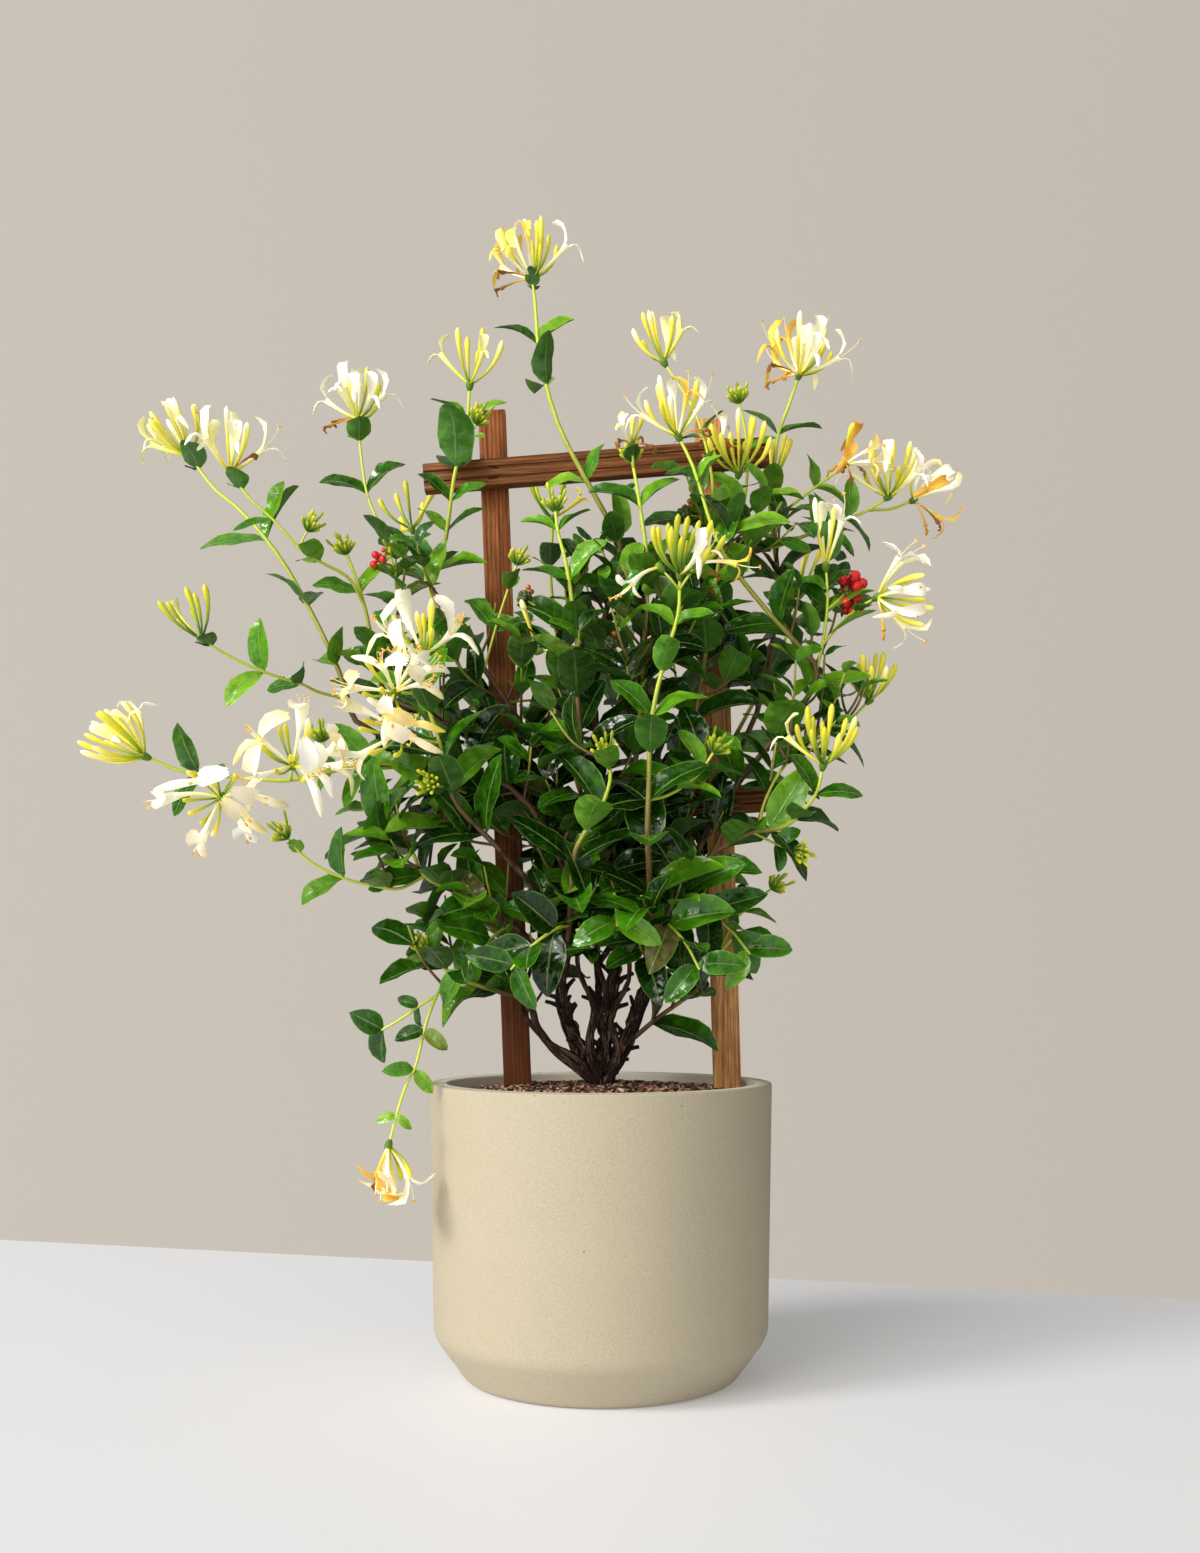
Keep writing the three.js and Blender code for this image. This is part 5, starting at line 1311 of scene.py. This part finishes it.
def has_room(curve, spacing):
    """Whether an inner leaf keeps off its neighbours, the potting mix, the right edge and bare wood."""
    middle = leaf_middle(curve)
    if min(np.linalg.norm(np.array(leaf_middles) - middle, axis=1)) < spacing:
        return False
    edge, edge_foot, edge_slope = RIGHT_EDGE
    x, height = curve[2][0], curve[2][2]
    if height < LOWEST_TWIG or x > edge + edge_slope * max(0.0, height - edge_foot):
        return False
    return not any(on_bare_wood(spot) for spot in (middle, curve[1], curve[2]))


luck = np.random.default_rng(5)
carriers = [branch["line"] for branch in all_branches]
spots = [(line, place) for line in carriers for place in np.arange(0.3, line.last - 0.15, 0.2)]
spot_places = np.array([line.inside(place) for line, place in spots])
twig_rods = []
twig_leaves = []
for tries, part_middle, part_radii, spacing, leaf_sizes in twig_parts:
    part_middle, part_radii = np.array(part_middle), np.array(part_radii)
    near = np.linalg.norm((spot_places - part_middle) / (part_radii + TWIG_REACH), axis=1) < 1
    near_spots = [spot for spot, fits in zip(spots, near) if fits]
    for twig in range(tries):
        carrier, place = near_spots[luck.integers(len(near_spots))]
        start, along = carrier.inside(place), carrier.along(place)
        out = unit(luck.normal(size=3) + 0.8 * unit(start - BUSH_CORE))
        heading = unit(0.5 * along + 0.9 * square_to(out, along) + 0.25 * UP)
        length = luck.uniform(*TWIG_LENGTHS)
        bend = start + heading * (length / 2) + UP * 2
        end = start + unit(heading + 0.35 * UP) * length
        if start[2] < LOWEST_TWIG or np.linalg.norm((end - part_middle) / part_radii) > 1:
            continue
        line = VineLine([start, bend, end])
        grown = []
        fresh = 1.36 * (luck.random() - 0.5) ** 3 + 0.10 * (luck.random() - 0.5)
        for place, share in TWIG_PAIRS:
            size = luck.uniform(*leaf_sizes) * share
            turn = luck.uniform(0, 180)
            for half in (0, 180):
                curve, across = leaf_line(line, place, size, turn + half)
                if has_room(curve, spacing):
                    grown.append(make_leaf(curve, across, size, False, 0.1 * place, fresh))
        if grown:
            twig_leaves += grown
            twig_rods.append(lay_stem(shoot_rod, line, 0, line.last, (1.2, 0.8), (0.08, 0.55)))
finish_piece(join_copies("inner_twigs", twig_rods), shoot_finish, 70)
half_way = len(twig_leaves) // 2
finish_piece(join_copies("inner_leaves_a", twig_leaves[:half_way]), leaf_finish, 75)
finish_piece(join_copies("inner_leaves_b", twig_leaves[half_way:]), leaf_finish, 75)

# ---------------------------------------------------------------- flower heads
# A head is a whorl of slender florets on a shoot's tip. A bud is a closed club. An open floret is a tube
# whose broad upper lip and narrow lower lip curl back, and its long stamens hang out. Florets open cream
# and turn yellow, then orange, as they age.

GOLDEN_ANGLE = 137.5
CORE_RADIUS = 4
SHOOT_GAP = 0.5
HEART_RADII = np.array((1.3, 2.0, 2.8, 3.1, 3.1, 2.9, 2.5, 1.9, 0.8))
BUD_ROWS = np.array((0, 0.12, 0.35, 0.56, 0.70, 0.80, 0.88, 0.95, 1))
BUD_OUTLINE = np.array((0.34, 0.37, 0.46, 0.60, 0.78, 0.94, 1, 0.82, 0.24))
TUBE_OUTLINE = np.array((0.46, 0.46, 0.54, 0.64, 0.76, 0.90, 1.04, 1.2, 1.3))
LIP_THICKNESS = 0.32
LIP_FOLD = -0.35
LIP_ROWS = np.array((0, 0.22, 0.46, 0.70, 0.90, 1))
UPPER_LIP = np.array((0.42, 0.62, 0.90, 1.0, 0.84, 0.50))
LOWER_LIP = np.array((0.60, 0.70, 0.88, 0.90, 0.66, 0.26))
THREAD_RADII = np.full(5, 0.42)
ANTHER_RADII = np.array((0.4, 0.9, 1.0, 0.9, 0.4))

# Each head: how many more buds, open florets and withered florets it has than the model, how far its buds
# and its open florets have turned from green (0) over cream (0.55) to brown (1), how large their lips are,
# the share of the open florets that has gone orange, how many stamens show in each, and the side on which
# the oldest florets hang (left -1, right 1).
head_looks = {
    "trailing_bloom": (2, 3, 1, 0.28, 0.60, 1.6, 0.6, 1, -1),
    "far_left_bloom": (6, 2, 0, 0.30, 0.49, 0.85, 0.0, 0, 1),
    "left_bloom_high": (8, 2, 0, 0.27, 0.58, 1.9, 0.0, 3, 1),
    "left_bloom_low": (8, 2, 0, 0.29, 0.58, 1.8, 0.0, 2, 1),
    "white_bloom_high": (7, 1, 0, 0.28, 0.59, 1.65, 0.0, 4, 1),
    "white_bloom_mid": (4, 2, 0, 0.29, 0.60, 1.6, 0.0, 4, 1),
    "white_bloom_low": (6, 1, 0, 0.29, 0.60, 1.6, 0.0, 3, 1),
    "fan_bloom_left": (3, 2, 0, 0.30, 0.46, 1.1, 0.0, 0, -1),
    "fan_bloom_right": (0, 2, 1, 0.32, 0.53, 1.3, 0.1, 1, 1),
    "fan_bloom_low": (3, 0, 0, 0.22, 0.42, 0.9, 0.0, 0, 1),
    "inner_bloom_top": (2, 3, 2, 0.27, 0.55, 1.15, 0.1, 0, -1),
    "upper_left_bloom": (1, 0, 0, 0.31, 0.46, 0.8, 0.0, 0, 1),
    "top_bloom": (4, 4, 2, 0.29, 0.51, 1.0, 0.8, 0, -1),
    "front_bloom": (8, 1, 1, 0.16, 0.54, 1.1, 0.0, 1, 1),
    "right_club_bloom": (5, 0, 0, 0.25, 0.45, 1.0, 0.0, 0, 1),
    "arch_bloom": (2, 2, 1, 0.32, 0.54, 1.1, 0.2, 1, 1),
    "arch_bloom_back": (2, 1, 0, 0.31, 0.48, 1.1, 0.1, 0, 1),
    "tall_tube_bloom": (1, 1, 0, 0.38, 0.54, 1.0, 0.0, 1, 1),
    "right_side_bloom": (5, 2, 1, 0.29, 0.54, 1.2, 0.1, 1, -1),
    "right_club_low": (7, 0, 0, 0.25, 0.45, 1.0, 0.0, 0, 1),
    "right_club_high": (5, 0, 0, 0.27, 0.45, 1.0, 0.0, 0, 1),
    "right_top_bloom": (4, 5, 3, 0.30, 0.54, 1.15, 0.9, 1, -1),
    "side_bloom": (7, 1, 0, 0.27, 0.53, 1.0, 0.0, 0, 1),
    "side_bloom_withered": (0, 2, 4, 0.30, 0.64, 1.1, 0.8, 2, -1),
    "side_bloom_cream": (1, 3, 2, 0.36, 0.57, 1.2, 0.4, 0, 1),
    "back_left_bloom": (0, 0, 0, 0.14, 0.34, 0.6, 0.0, 0, 1),
    "back_top_bloom": (1, 0, 0, 0.14, 0.34, 0.6, 0.0, 0, 1),
    "back_right_bloom": (1, 0, 0, 0.22, 0.42, 0.8, 0.0, 0, 1),
    "deep_bloom": (0, 1, 0, 0.30, 0.52, 1.1, 0.0, 0, 1),
    "pendant_bloom": (0, 0, 0, 0.30, 0.57, 0.8, 0.0, 4, 1),
    "orange_bloom": (0, 0, 0, 0.30, 0.71, 0.9, 0.0, 1, 1),
    "spent_bloom": (0, 0, 6, 0.30, 0.60, 0.8, 0.5, 0, 1),
    "bud_end_bloom": (0, 0, 3, 0.30, 0.60, 0.8, 0.5, 0, 1),
    "behind_bar_bloom": (2, 0, 0, 0.30, 0.45, 1.0, 0.0, 0, 1),
    "lone_bud": (0, 0, 0, 0.34, 0.45, 1.0, 0.0, 0, 1),
}


def sides_of(axis):
    """Two directions that are square to an axis and to each other."""
    side = square_to(UP if abs(axis[2]) < 0.9 else FRONT, axis)
    return side, np.cross(axis, side)


def leaning(axis, lean, turn):
    """The direction that stands at "lean" degrees from an axis, turned about it."""
    side, other = sides_of(axis)
    out = side * math.cos(math.radians(turn)) + other * math.sin(math.radians(turn))
    return axis * math.cos(math.radians(lean)) + out * math.sin(math.radians(lean))


def floret_curve(base, axis, lean, curl, turn, length, droop):
    """A floret's middle line: it leaves the head outward and curves on, and a limp one sinks."""
    middle = base + leaning(axis, lean, turn) * (length / 2)
    onward = unit(leaning(axis, lean * curl, turn) - UP * droop)
    return base, middle, middle + onward * (length / 2)


def lay_floret_rod(shape, curve, radii, ages, anther=0.0):
    """A rod along a floret's curve, with its radius at each of its rows and its ages spread over them."""
    places = BUD_ROWS if len(radii) == len(BUD_ROWS) else np.linspace(0, 1, len(radii))
    centres, tangents = on_curve(curve, places)
    sides = np.array([square_to(FRONT if abs(t[1]) < 0.95 else UP, t) for t in tangents])
    points = lay_rows(shape, centres, sides, np.cross(tangents, sides), radii, radii)
    age = spread_over(places, ages)[shape["row"]]
    return shape, points * MM, {"age": age, "anther": anther, "streak": shape["points"][:, 0]}


def lay_lip(curve, across, width, outline, age, ripple, seed):
    points, marks = lay_blade(
        lip_blade, LIP_ROWS, curve, across, width, outline, LIP_THICKNESS, LIP_FOLD, ripple,
        0.5 * (seed - 0.5), seed, 0.16 * width)
    lip_age = age + 0.05 * marks["along"]
    return lip_blade, points * MM, {"age": lip_age, "anther": 0.0, "streak": marks["across"]}


def make_bud(curve, radius, age, seed):
    ages = age - 0.25, age - 0.14, age - 0.04, age + 0.05, age + 0.08 + 0.10 * seed
    return [lay_floret_rod(floret_rod, curve, BUD_OUTLINE * radius, ages)]


def make_open_floret(curve, axis, length, age, seed, limp, lip, stamens):
    """A tube, its two curled lips, and its stamens."""
    points, tangents = on_curve(curve, 1.0)
    mouth, ahead = points[0], tangents[0]
    above = square_to(axis + 0.01 * FRONT, ahead)
    across = np.cross(ahead, above)

    def spot(forward, up, aside=0.0):
        return mouth + ahead * (forward * length) + above * (up * length) + across * (aside * length)

    ages = age - 0.28, age - 0.10, age - 0.03, age
    parts = [lay_floret_rod(floret_rod, curve, TUBE_OUTLINE * 2.2, ages)]
    back = 0.05 + 0.25 * seed
    upper_tip = spot((0.44 - back) * lip, 0.58 * lip)
    lower_tip = spot((0.26 - back) * lip, (-0.56 - 0.2 * limp) * lip)
    upper = spot(-0.16, 0.03), spot(0.42 * lip, 0.06 + 0.16 * (1 - limp)), upper_tip
    lower = spot(-0.12, -0.03), spot(0.40 * lip, -0.08), lower_tip
    upper_width, lower_width = (4.7 - 1.2 * limp) * lip ** 0.6, 2.5 * lip ** 0.6
    parts.append(lay_lip(upper, across, upper_width, UPPER_LIP, age, 0.22 + 0.3 * limp, seed))
    parts.append(lay_lip(lower, across, lower_width, LOWER_LIP, age + 0.02, 0.2 + 0.3 * limp, 1 - seed))
    for thread in range(stamens):
        fan = (thread - 0.5 * stamens + 0.5) * 0.1
        reach = 0.62 + 0.16 * chance(seed + thread)
        lift = 0.10 + 0.10 * chance(seed * 2 + thread)
        end = spot(reach, lift - 0.22 * limp, fan * 1.5)
        bend = spot(reach * 0.55, -0.02, fan)
        hair = spot(-0.1, 0, fan * 0.2), bend, end
        parts.append(lay_floret_rod(thread_rod, hair, THREAD_RADII, (0.46, 0.54)))
        tilt = square_to(above, unit(end - bend)) * 1.7
        grain = end - tilt, end, end + tilt
        parts.append(lay_floret_rod(thread_rod, grain, ANTHER_RADII, (0.8, 0.8), 1.0))
    return parts


def make_withered(curve, age, seed):
    """A spent floret: a limp, shrunken tube with one lip rolled up."""
    root, middle, tip = curve
    hang = tip - UP * 9 + np.array((4 * (seed - 0.5), -3 * seed, 0))
    sag = root, middle - UP * 3, hang
    ahead = on_curve(sag, 1.0)[1][0]
    across = square_to(FRONT + 0.2 * UP, ahead)
    shrunk = TUBE_OUTLINE * np.array((1, 1, 0.9, 0.7, 0.8, 0.6, 0.8, 1, 0.8)) * 1.5
    end = hang + ahead * 5
    curl = hang, end + across * 3, end - UP * 5 - ahead * 3
    parts = [lay_floret_rod(floret_rod, sag, shrunk, (age - 0.2, age, age + 0.1))]
    parts.append(lay_lip(curl, across, 2.8, UPPER_LIP, age + 0.08, 0.6, seed))
    return parts


def make_head(tip, along, bloom, key):
    """All florets of one head. The first ones are the model's own, and the others stand between them."""
    looks = head_looks[bloom["name"]]
    more_buds, more_open, withered, bud_age, open_age, lip, orange, stamens, old_side = looks
    base = tip + along * (SHOOT_GAP + CORE_RADIUS * 0.9)
    axis = unit(np.array(bloom["lean"], float))
    heart = tip - along * 1.0, tip + along * 3.5, tip + along * 8
    parts = [lay_floret_rod(floret_rod, heart, HEART_RADII, (0.0, 0.02, 0.08))]
    count = bloom["buds"] + bloom["open"]
    for i in range(count):
        lean = bloom["spread"] * math.sqrt((i + 0.6) / count)
        turn = GOLDEN_ANGLE * i + 360 * chance(key)
        length = bloom["size"] * (0.86 + 0.14 * chance(key + i))
        seed = chance(key + 0.37 * i)
        old = 0.17 * (chance(seed * 3) < orange) * (leaning(axis, lean, turn)[0] * old_side > -0.05)
        if i < bloom["buds"]:
            curve = floret_curve(base, axis, lean * 1.25, 0.15, turn, length, 0)
            parts += make_bud(curve, 2.35, bud_age - 0.05 + 0.18 * seed, seed)
        else:
            curve = floret_curve(base, axis, lean, 0.75, turn, length * 0.74, bloom["droop"])
            age = open_age + 0.08 * (seed - 0.5) + old
            parts += make_open_floret(curve, axis, length * 0.62, age, seed, 0.2 * seed, lip, stamens)
    extra = more_buds + more_open + withered
    ways = []
    for i in range(extra):
        lean = bloom["spread"] * (0.15 + 0.85 * math.sqrt((i + 0.4) / extra))
        turn = GOLDEN_ANGLE * (i + 0.5) + 360 * chance(key) + 40
        ways.append((leaning(axis, lean, turn)[0] * old_side, lean, turn, chance(key + 0.71 * i + 0.2)))
    for i, (toward_old, lean, turn, seed) in enumerate(sorted(ways)):
        length = bloom["size"] * (0.72 + 0.24 * seed)
        old = 0.17 * (chance(seed * 5) < orange) * (toward_old > 0.05)
        if i < more_buds:
            curve = floret_curve(base, axis, lean * 1.25, 0.15, turn, length, 0)
            parts += make_bud(curve, 1.8 + 0.5 * seed, bud_age - 0.09 + 0.12 * seed, seed)
        elif i < more_buds + more_open:
            curve = floret_curve(base, axis, lean, 0.75, turn, length * 0.75, bloom["droop"])
            age = open_age + 0.12 * (seed - 0.5) + old
            parts += make_open_floret(curve, axis, length * 0.56, age, seed, 0.4 * seed, lip, stamens)
        else:
            curve = floret_curve(base, axis, lean, 0.9, turn, length * 0.62, bloom["droop"] + 0.5)
            parts += make_withered(curve, 0.78 + 0.2 * seed, seed)
    return parts


floret_rod = model_rod("floret_rod", 8, 8)
thread_rod = model_rod("thread_rod", 3, 4)
lip_blade = model_blade("lip_blade", 6, 5)

# The florets glow faintly in their own colour: painted light that brightens their shaded sides.
petal_finish = new_finish("glowing_honeysuckle_petal", 0.5, Specular_IOR_Level=0.35, Emission_Strength=0.13)
petal_cloud = noise(object_place(petal_finish), 160.0, 1.0)
streak_line = read_mark(petal_finish, "streak")
petal_streak = add_node(
    "TexNoise", {"noise_dimensions": "1D"}, W=streak_line, Scale=4.0, Detail=0.0).outputs[0]
petal_colour = colour_steps(uneven_mark(petal_finish, "age", petal_cloud, 0.06), [
    (0.0, (0.055, 0.15, 0.008)), (0.14, (0.27, 0.38, 0.018)), (0.28, (0.68, 0.63, 0.030)),
    (0.40, (0.93, 0.82, 0.10)), (0.50, (0.98, 0.93, 0.50)), (0.59, (1.0, 0.98, 0.90)),
    (0.72, (0.97, 0.72, 0.10)), (0.84, (0.88, 0.42, 0.04)), (1.0, (0.25, 0.085, 0.02))])
streak_share = stretch_range(petal_streak, 0.45, 0.7, 0.0, 0.08)
streaked_petal = blend_colours(streak_share, petal_colour, (0.70, 0.66, 0.16, 1))
petal_tint = blend_colours(read_mark(petal_finish, "anther"), streaked_petal, (0.90, 0.46, 0.06, 1))
feed_shader("Base Color", petal_tint)
feed_shader("Emission Color", petal_tint)
add_bump(reckon("MULTIPLY_ADD", petal_streak, 0.4, petal_cloud), 0.0003, 0.7)

for branch in [branch for branch in all_branches if "bloom" in branch]:
    florets = make_head(*branch["line"].tip(), branch["bloom"], branch["key"])
    head_piece = join_copies(branch["bloom"]["name"] + "_florets", florets)
    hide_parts(branch["bloom"]["name"])
    finish_piece(head_piece, petal_finish, 80)

# ---------------------------------------------------------------- late flowers
# Late and spent flowers sit deeper in the vine. Each is a short head on its own stalk, which grows from the
# nearest shoot.

late_heads = [
    ((-40, 34, 545), head("deep_bloom", 1, 3, 40, 55, (-0.5, -0.5, -0.6), 0.5)),
    ((46, -104, 614), head("pendant_bloom", 0, 1, 46, 10, (-0.7, -0.5, -0.1), 0.9)),
    ((68, -104, 616), head("orange_bloom", 0, 1, 44, 10, (0.9, -0.3, 0.3), 0.6)),
    ((92, -12, 738), head("spent_bloom", 0, 1, 36, 70, (-0.2, -0.3, 0.9))),
    ((24, -50, 722), head("bud_end_bloom", 2, 1, 30, 60, (0.1, -0.3, 0.9))),
    ((142, 30, 724), head("behind_bar_bloom", 3, 0, 42, 28, (0.2, 0.1, 1))),
    ((-45, -46, 568), head("lone_bud", 1, 0, 44, 8, (-0.3, -0.3, 0.9))),
]
late_florets = []
late_stalks = []
for number, (end, bloom) in enumerate(late_heads):
    end = np.array(end, float)
    start = spot_places[np.argmin(np.linalg.norm(spot_places - end, axis=1))]
    stalk = arched(start, end, FRONT * 2)
    late_stalks.append(lay_stem(shoot_rod, stalk, 0, 2, (1.1, 0.9), (0.6, 0.9)))
    late_florets += make_head(end, stalk.along(2), bloom, 20 + number)
finish_piece(join_copies("late_florets", late_florets), petal_finish, 80)
finish_piece(join_copies("late_stalks", late_stalks), shoot_finish, 70)

# ---------------------------------------------------------------- young buds
# Shoots that haven't flowered yet end in a tight green cluster of small clubs.

YOUNG_BUD_RADIUS = 1.5
YOUNG_BUD_LENGTH = 17
YOUNG_BUD_LEAN = 50
YOUNG_BUD_FULLNESS = 20


def make_young_buds(tip, along, count, key):
    """The model's own buds, and shorter ones that crowd between them."""
    parts = []
    base = tip - along
    for i in range(count + YOUNG_BUD_FULLNESS):
        seed = chance(key + 0.37 * i)
        if i < count:
            lean = YOUNG_BUD_LEAN * math.sqrt((i + 0.3) / count)
            length = YOUNG_BUD_LENGTH + 6 * chance(key + i)
        else:
            lean = 1.5 * YOUNG_BUD_LEAN * math.sqrt((i - count + 0.5) / YOUNG_BUD_FULLNESS)
            length = YOUNG_BUD_LENGTH * (0.52 + 0.36 * seed)
        turn = GOLDEN_ANGLE * i + 360 * chance(key)
        curve = floret_curve(base, along, lean, 0.5, turn, length, 0)
        parts += make_bud(curve, YOUNG_BUD_RADIUS * (0.75 + 0.25 * seed), 0.06 + 0.08 * seed, seed)
    return parts


for stem in stems:
    young = []
    for branch in stem["branches"]:
        if "buds" in branch:
            young += make_young_buds(*branch["line"].tip(), branch["buds"], branch["key"])
    if young:
        bud_piece = join_copies(stem["name"] + "_buds", young)
        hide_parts(stem["name"] + "_shoot")
        finish_piece(bud_piece, petal_finish, 80)

# ---------------------------------------------------------------- late sprigs
# Thin side sprigs grow from the long shoots. Each ends in a small cluster of green buds, and most carry a
# pair or two of young leaves.

late_sprigs = [
    side_shoot([(-201, -74, 472), (-206, -76, 482), (-209, -76, 494)], [], buds=3),
    side_shoot([(-162, 6, 612), (-164, 0, 630), (-163, -8, 650)], [(1.2, 22, 20)], buds=4),
    side_shoot([(-234, -34, 650), (-232, -34, 657), (-228, -34, 664)], [], buds=4),
    side_shoot([(-92, -16, 560), (-80, -22, 600), (-66, -26, 640)], [(0.7, 34, 10), (1.5, 26, 80)], buds=2),
    side_shoot([(-115, -14, 718), (-106, -18, 738), (-98, -20, 752)], [(1.1, 18, 40)], buds=5),
    side_shoot([(115, -60, 427), (132, -64, 418), (146, -66, 412)], [(1.0, 22, 0)], buds=3),
]
sprig_rods = []
sprig_leaves = []
sprig_buds = []
for number, sprig in enumerate(late_sprigs):
    line = VineLine(sprig["points"])
    sprig_rods.append(lay_stem(shoot_rod, line, 0, line.last, (1.1, 0.8), (0.7, 1)))
    for place, length, turn in sprig["pairs"]:
        for half in (0, 180):
            curve, across = leaf_line(line, place, length, turn + half)
            sprig_leaves.append(make_leaf(curve, across, length, False, 0.9))
    sprig_buds += make_young_buds(*line.tip(), sprig["buds"], number + 0.5)
finish_piece(join_copies("sprig_stems", sprig_rods), shoot_finish, 70)
finish_piece(join_copies("sprig_leaves", sprig_leaves), leaf_finish, 75)
finish_piece(join_copies("sprig_buds", sprig_buds), petal_finish, 80)

# ---------------------------------------------------------------- berries
# One spent head has ripened into a bunch of glossy red berries. Most side bunches are still small, hard
# and dark.

BERRY_RADIUS = 4.6
BERRY_SPREAD = 125

bpy.ops.mesh.primitive_uv_sphere_add(segments=14, ring_count=9, radius=1)
bpy.ops.object.mode_set(mode="EDIT")
bpy.ops.mesh.select_all(action="DESELECT")
bpy.ops.object.mode_set(mode="OBJECT")
for spot in bpy.context.object.data.vertices:
    if spot.co.z > 0.97:
        spot.co.z = 0.80
berry_shape = read_shape(bpy.context.object)


def berry_bunch(tip, along, count, radius, ripe, key):
    """Berries crowded round a point, each with its dimple outwards."""
    centre = tip + along * (0.4 + 1.5 * radius)
    copies = []
    for i in range(count):
        direction = leaning(along, BERRY_SPREAD * math.sqrt((i + 0.3) / count), GOLDEN_ANGLE * i)
        lie = np.stack((*sides_of(direction), direction), axis=1)
        lie = lie * radius * (1 - 0.1 * chance(key + i))
        points = berry_shape["points"] @ lie.T + centre + direction * 1.6 * radius
        ripeness = ripe - 0.12 * chance(key + 0.3 * i)
        copies.append((berry_shape, points * MM, {"ripe": ripeness, "dimple": berry_shape["points"][:, 2]}))
    return copies


berry_finish = new_finish("honeysuckle_berry", 0.18, Subsurface_Weight=0.1, Subsurface_Scale=0.002)
berry_cloud = noise(object_place(berry_finish), 260.0)
berry_colour = colour_steps(uneven_mark(berry_finish, "ripe", berry_cloud, 0.1), [
    (0.0, (0.020, 0.030, 0.012)), (0.35, (0.10, 0.16, 0.03)), (0.6, (0.60, 0.16, 0.03)),
    (0.85, (0.88, 0.035, 0.035)), (1.0, (0.76, 0.016, 0.024))])
berry_eye = stretch_range(read_mark(berry_finish, "dimple"), 0.90, 0.99, 0.0, 0.9)
feed_shader("Base Color", blend_colours(berry_eye, berry_colour, (0.04, 0.02, 0.01, 1)))
add_bump(berry_cloud, 0.0002)

for branch in [branch for branch in all_branches if "berries" in branch]:
    tip, along = branch["line"].tip()
    # The ripe bunch, the unripe berries below it, and a second ripe bunch that hangs against it.
    bunch = berry_bunch(tip, along, branch["berries"], BERRY_RADIUS, 1.0, 3)
    bunch += berry_bunch(tip - along * 6, along, 7, 2.4, 0.45, 4)
    bunch += berry_bunch(tip + np.array((3.5, -3, -4.6)), -UP, 6, 4.1, 0.98, 5)
    berry_piece = join_copies("red_berries", bunch)
    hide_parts("berries")
    finish_piece(berry_piece, berry_finish, 60)

# Each side bunch: where its stalk starts and ends, its berries, their radius and how ripe they are.
side_bunches = [
    ((31, -48, 537), (10, -66, 566), 18, 2.5, 0.18), ((97, -24, 670), (69, -30, 677), 18, 2.5, 0.26),
    ((104, -18, 590), (85, -34, 608), 18, 2.5, 0.18), ((-40, -50, 590), (-56, -46, 606), 18, 2.5, 0.26),
    ((-163, -4, 640), (-172, -12, 644), 4, 3.2, 1.0),
]
side_berries = []
berry_stalks = []
for number, (start, end, count, radius, ripe) in enumerate(side_bunches):
    start, end = np.array(start, float), np.array(end, float)
    berry_stalks.append(lay_stem(shoot_rod, arched(start, end, UP * 2), 0, 2, (1.0, 0.9), (0.4, 0.6)))
    side_berries += berry_bunch(end, unit(end - start), count, radius, ripe, number)
    side_berries += berry_bunch(end + UP * 4, UP, 3, 2.2, 0.66, number + 0.5)
finish_piece(join_copies("side_berries", side_berries), berry_finish, 60)
finish_piece(join_copies("berry_stalks", berry_stalks), shoot_finish, 70)
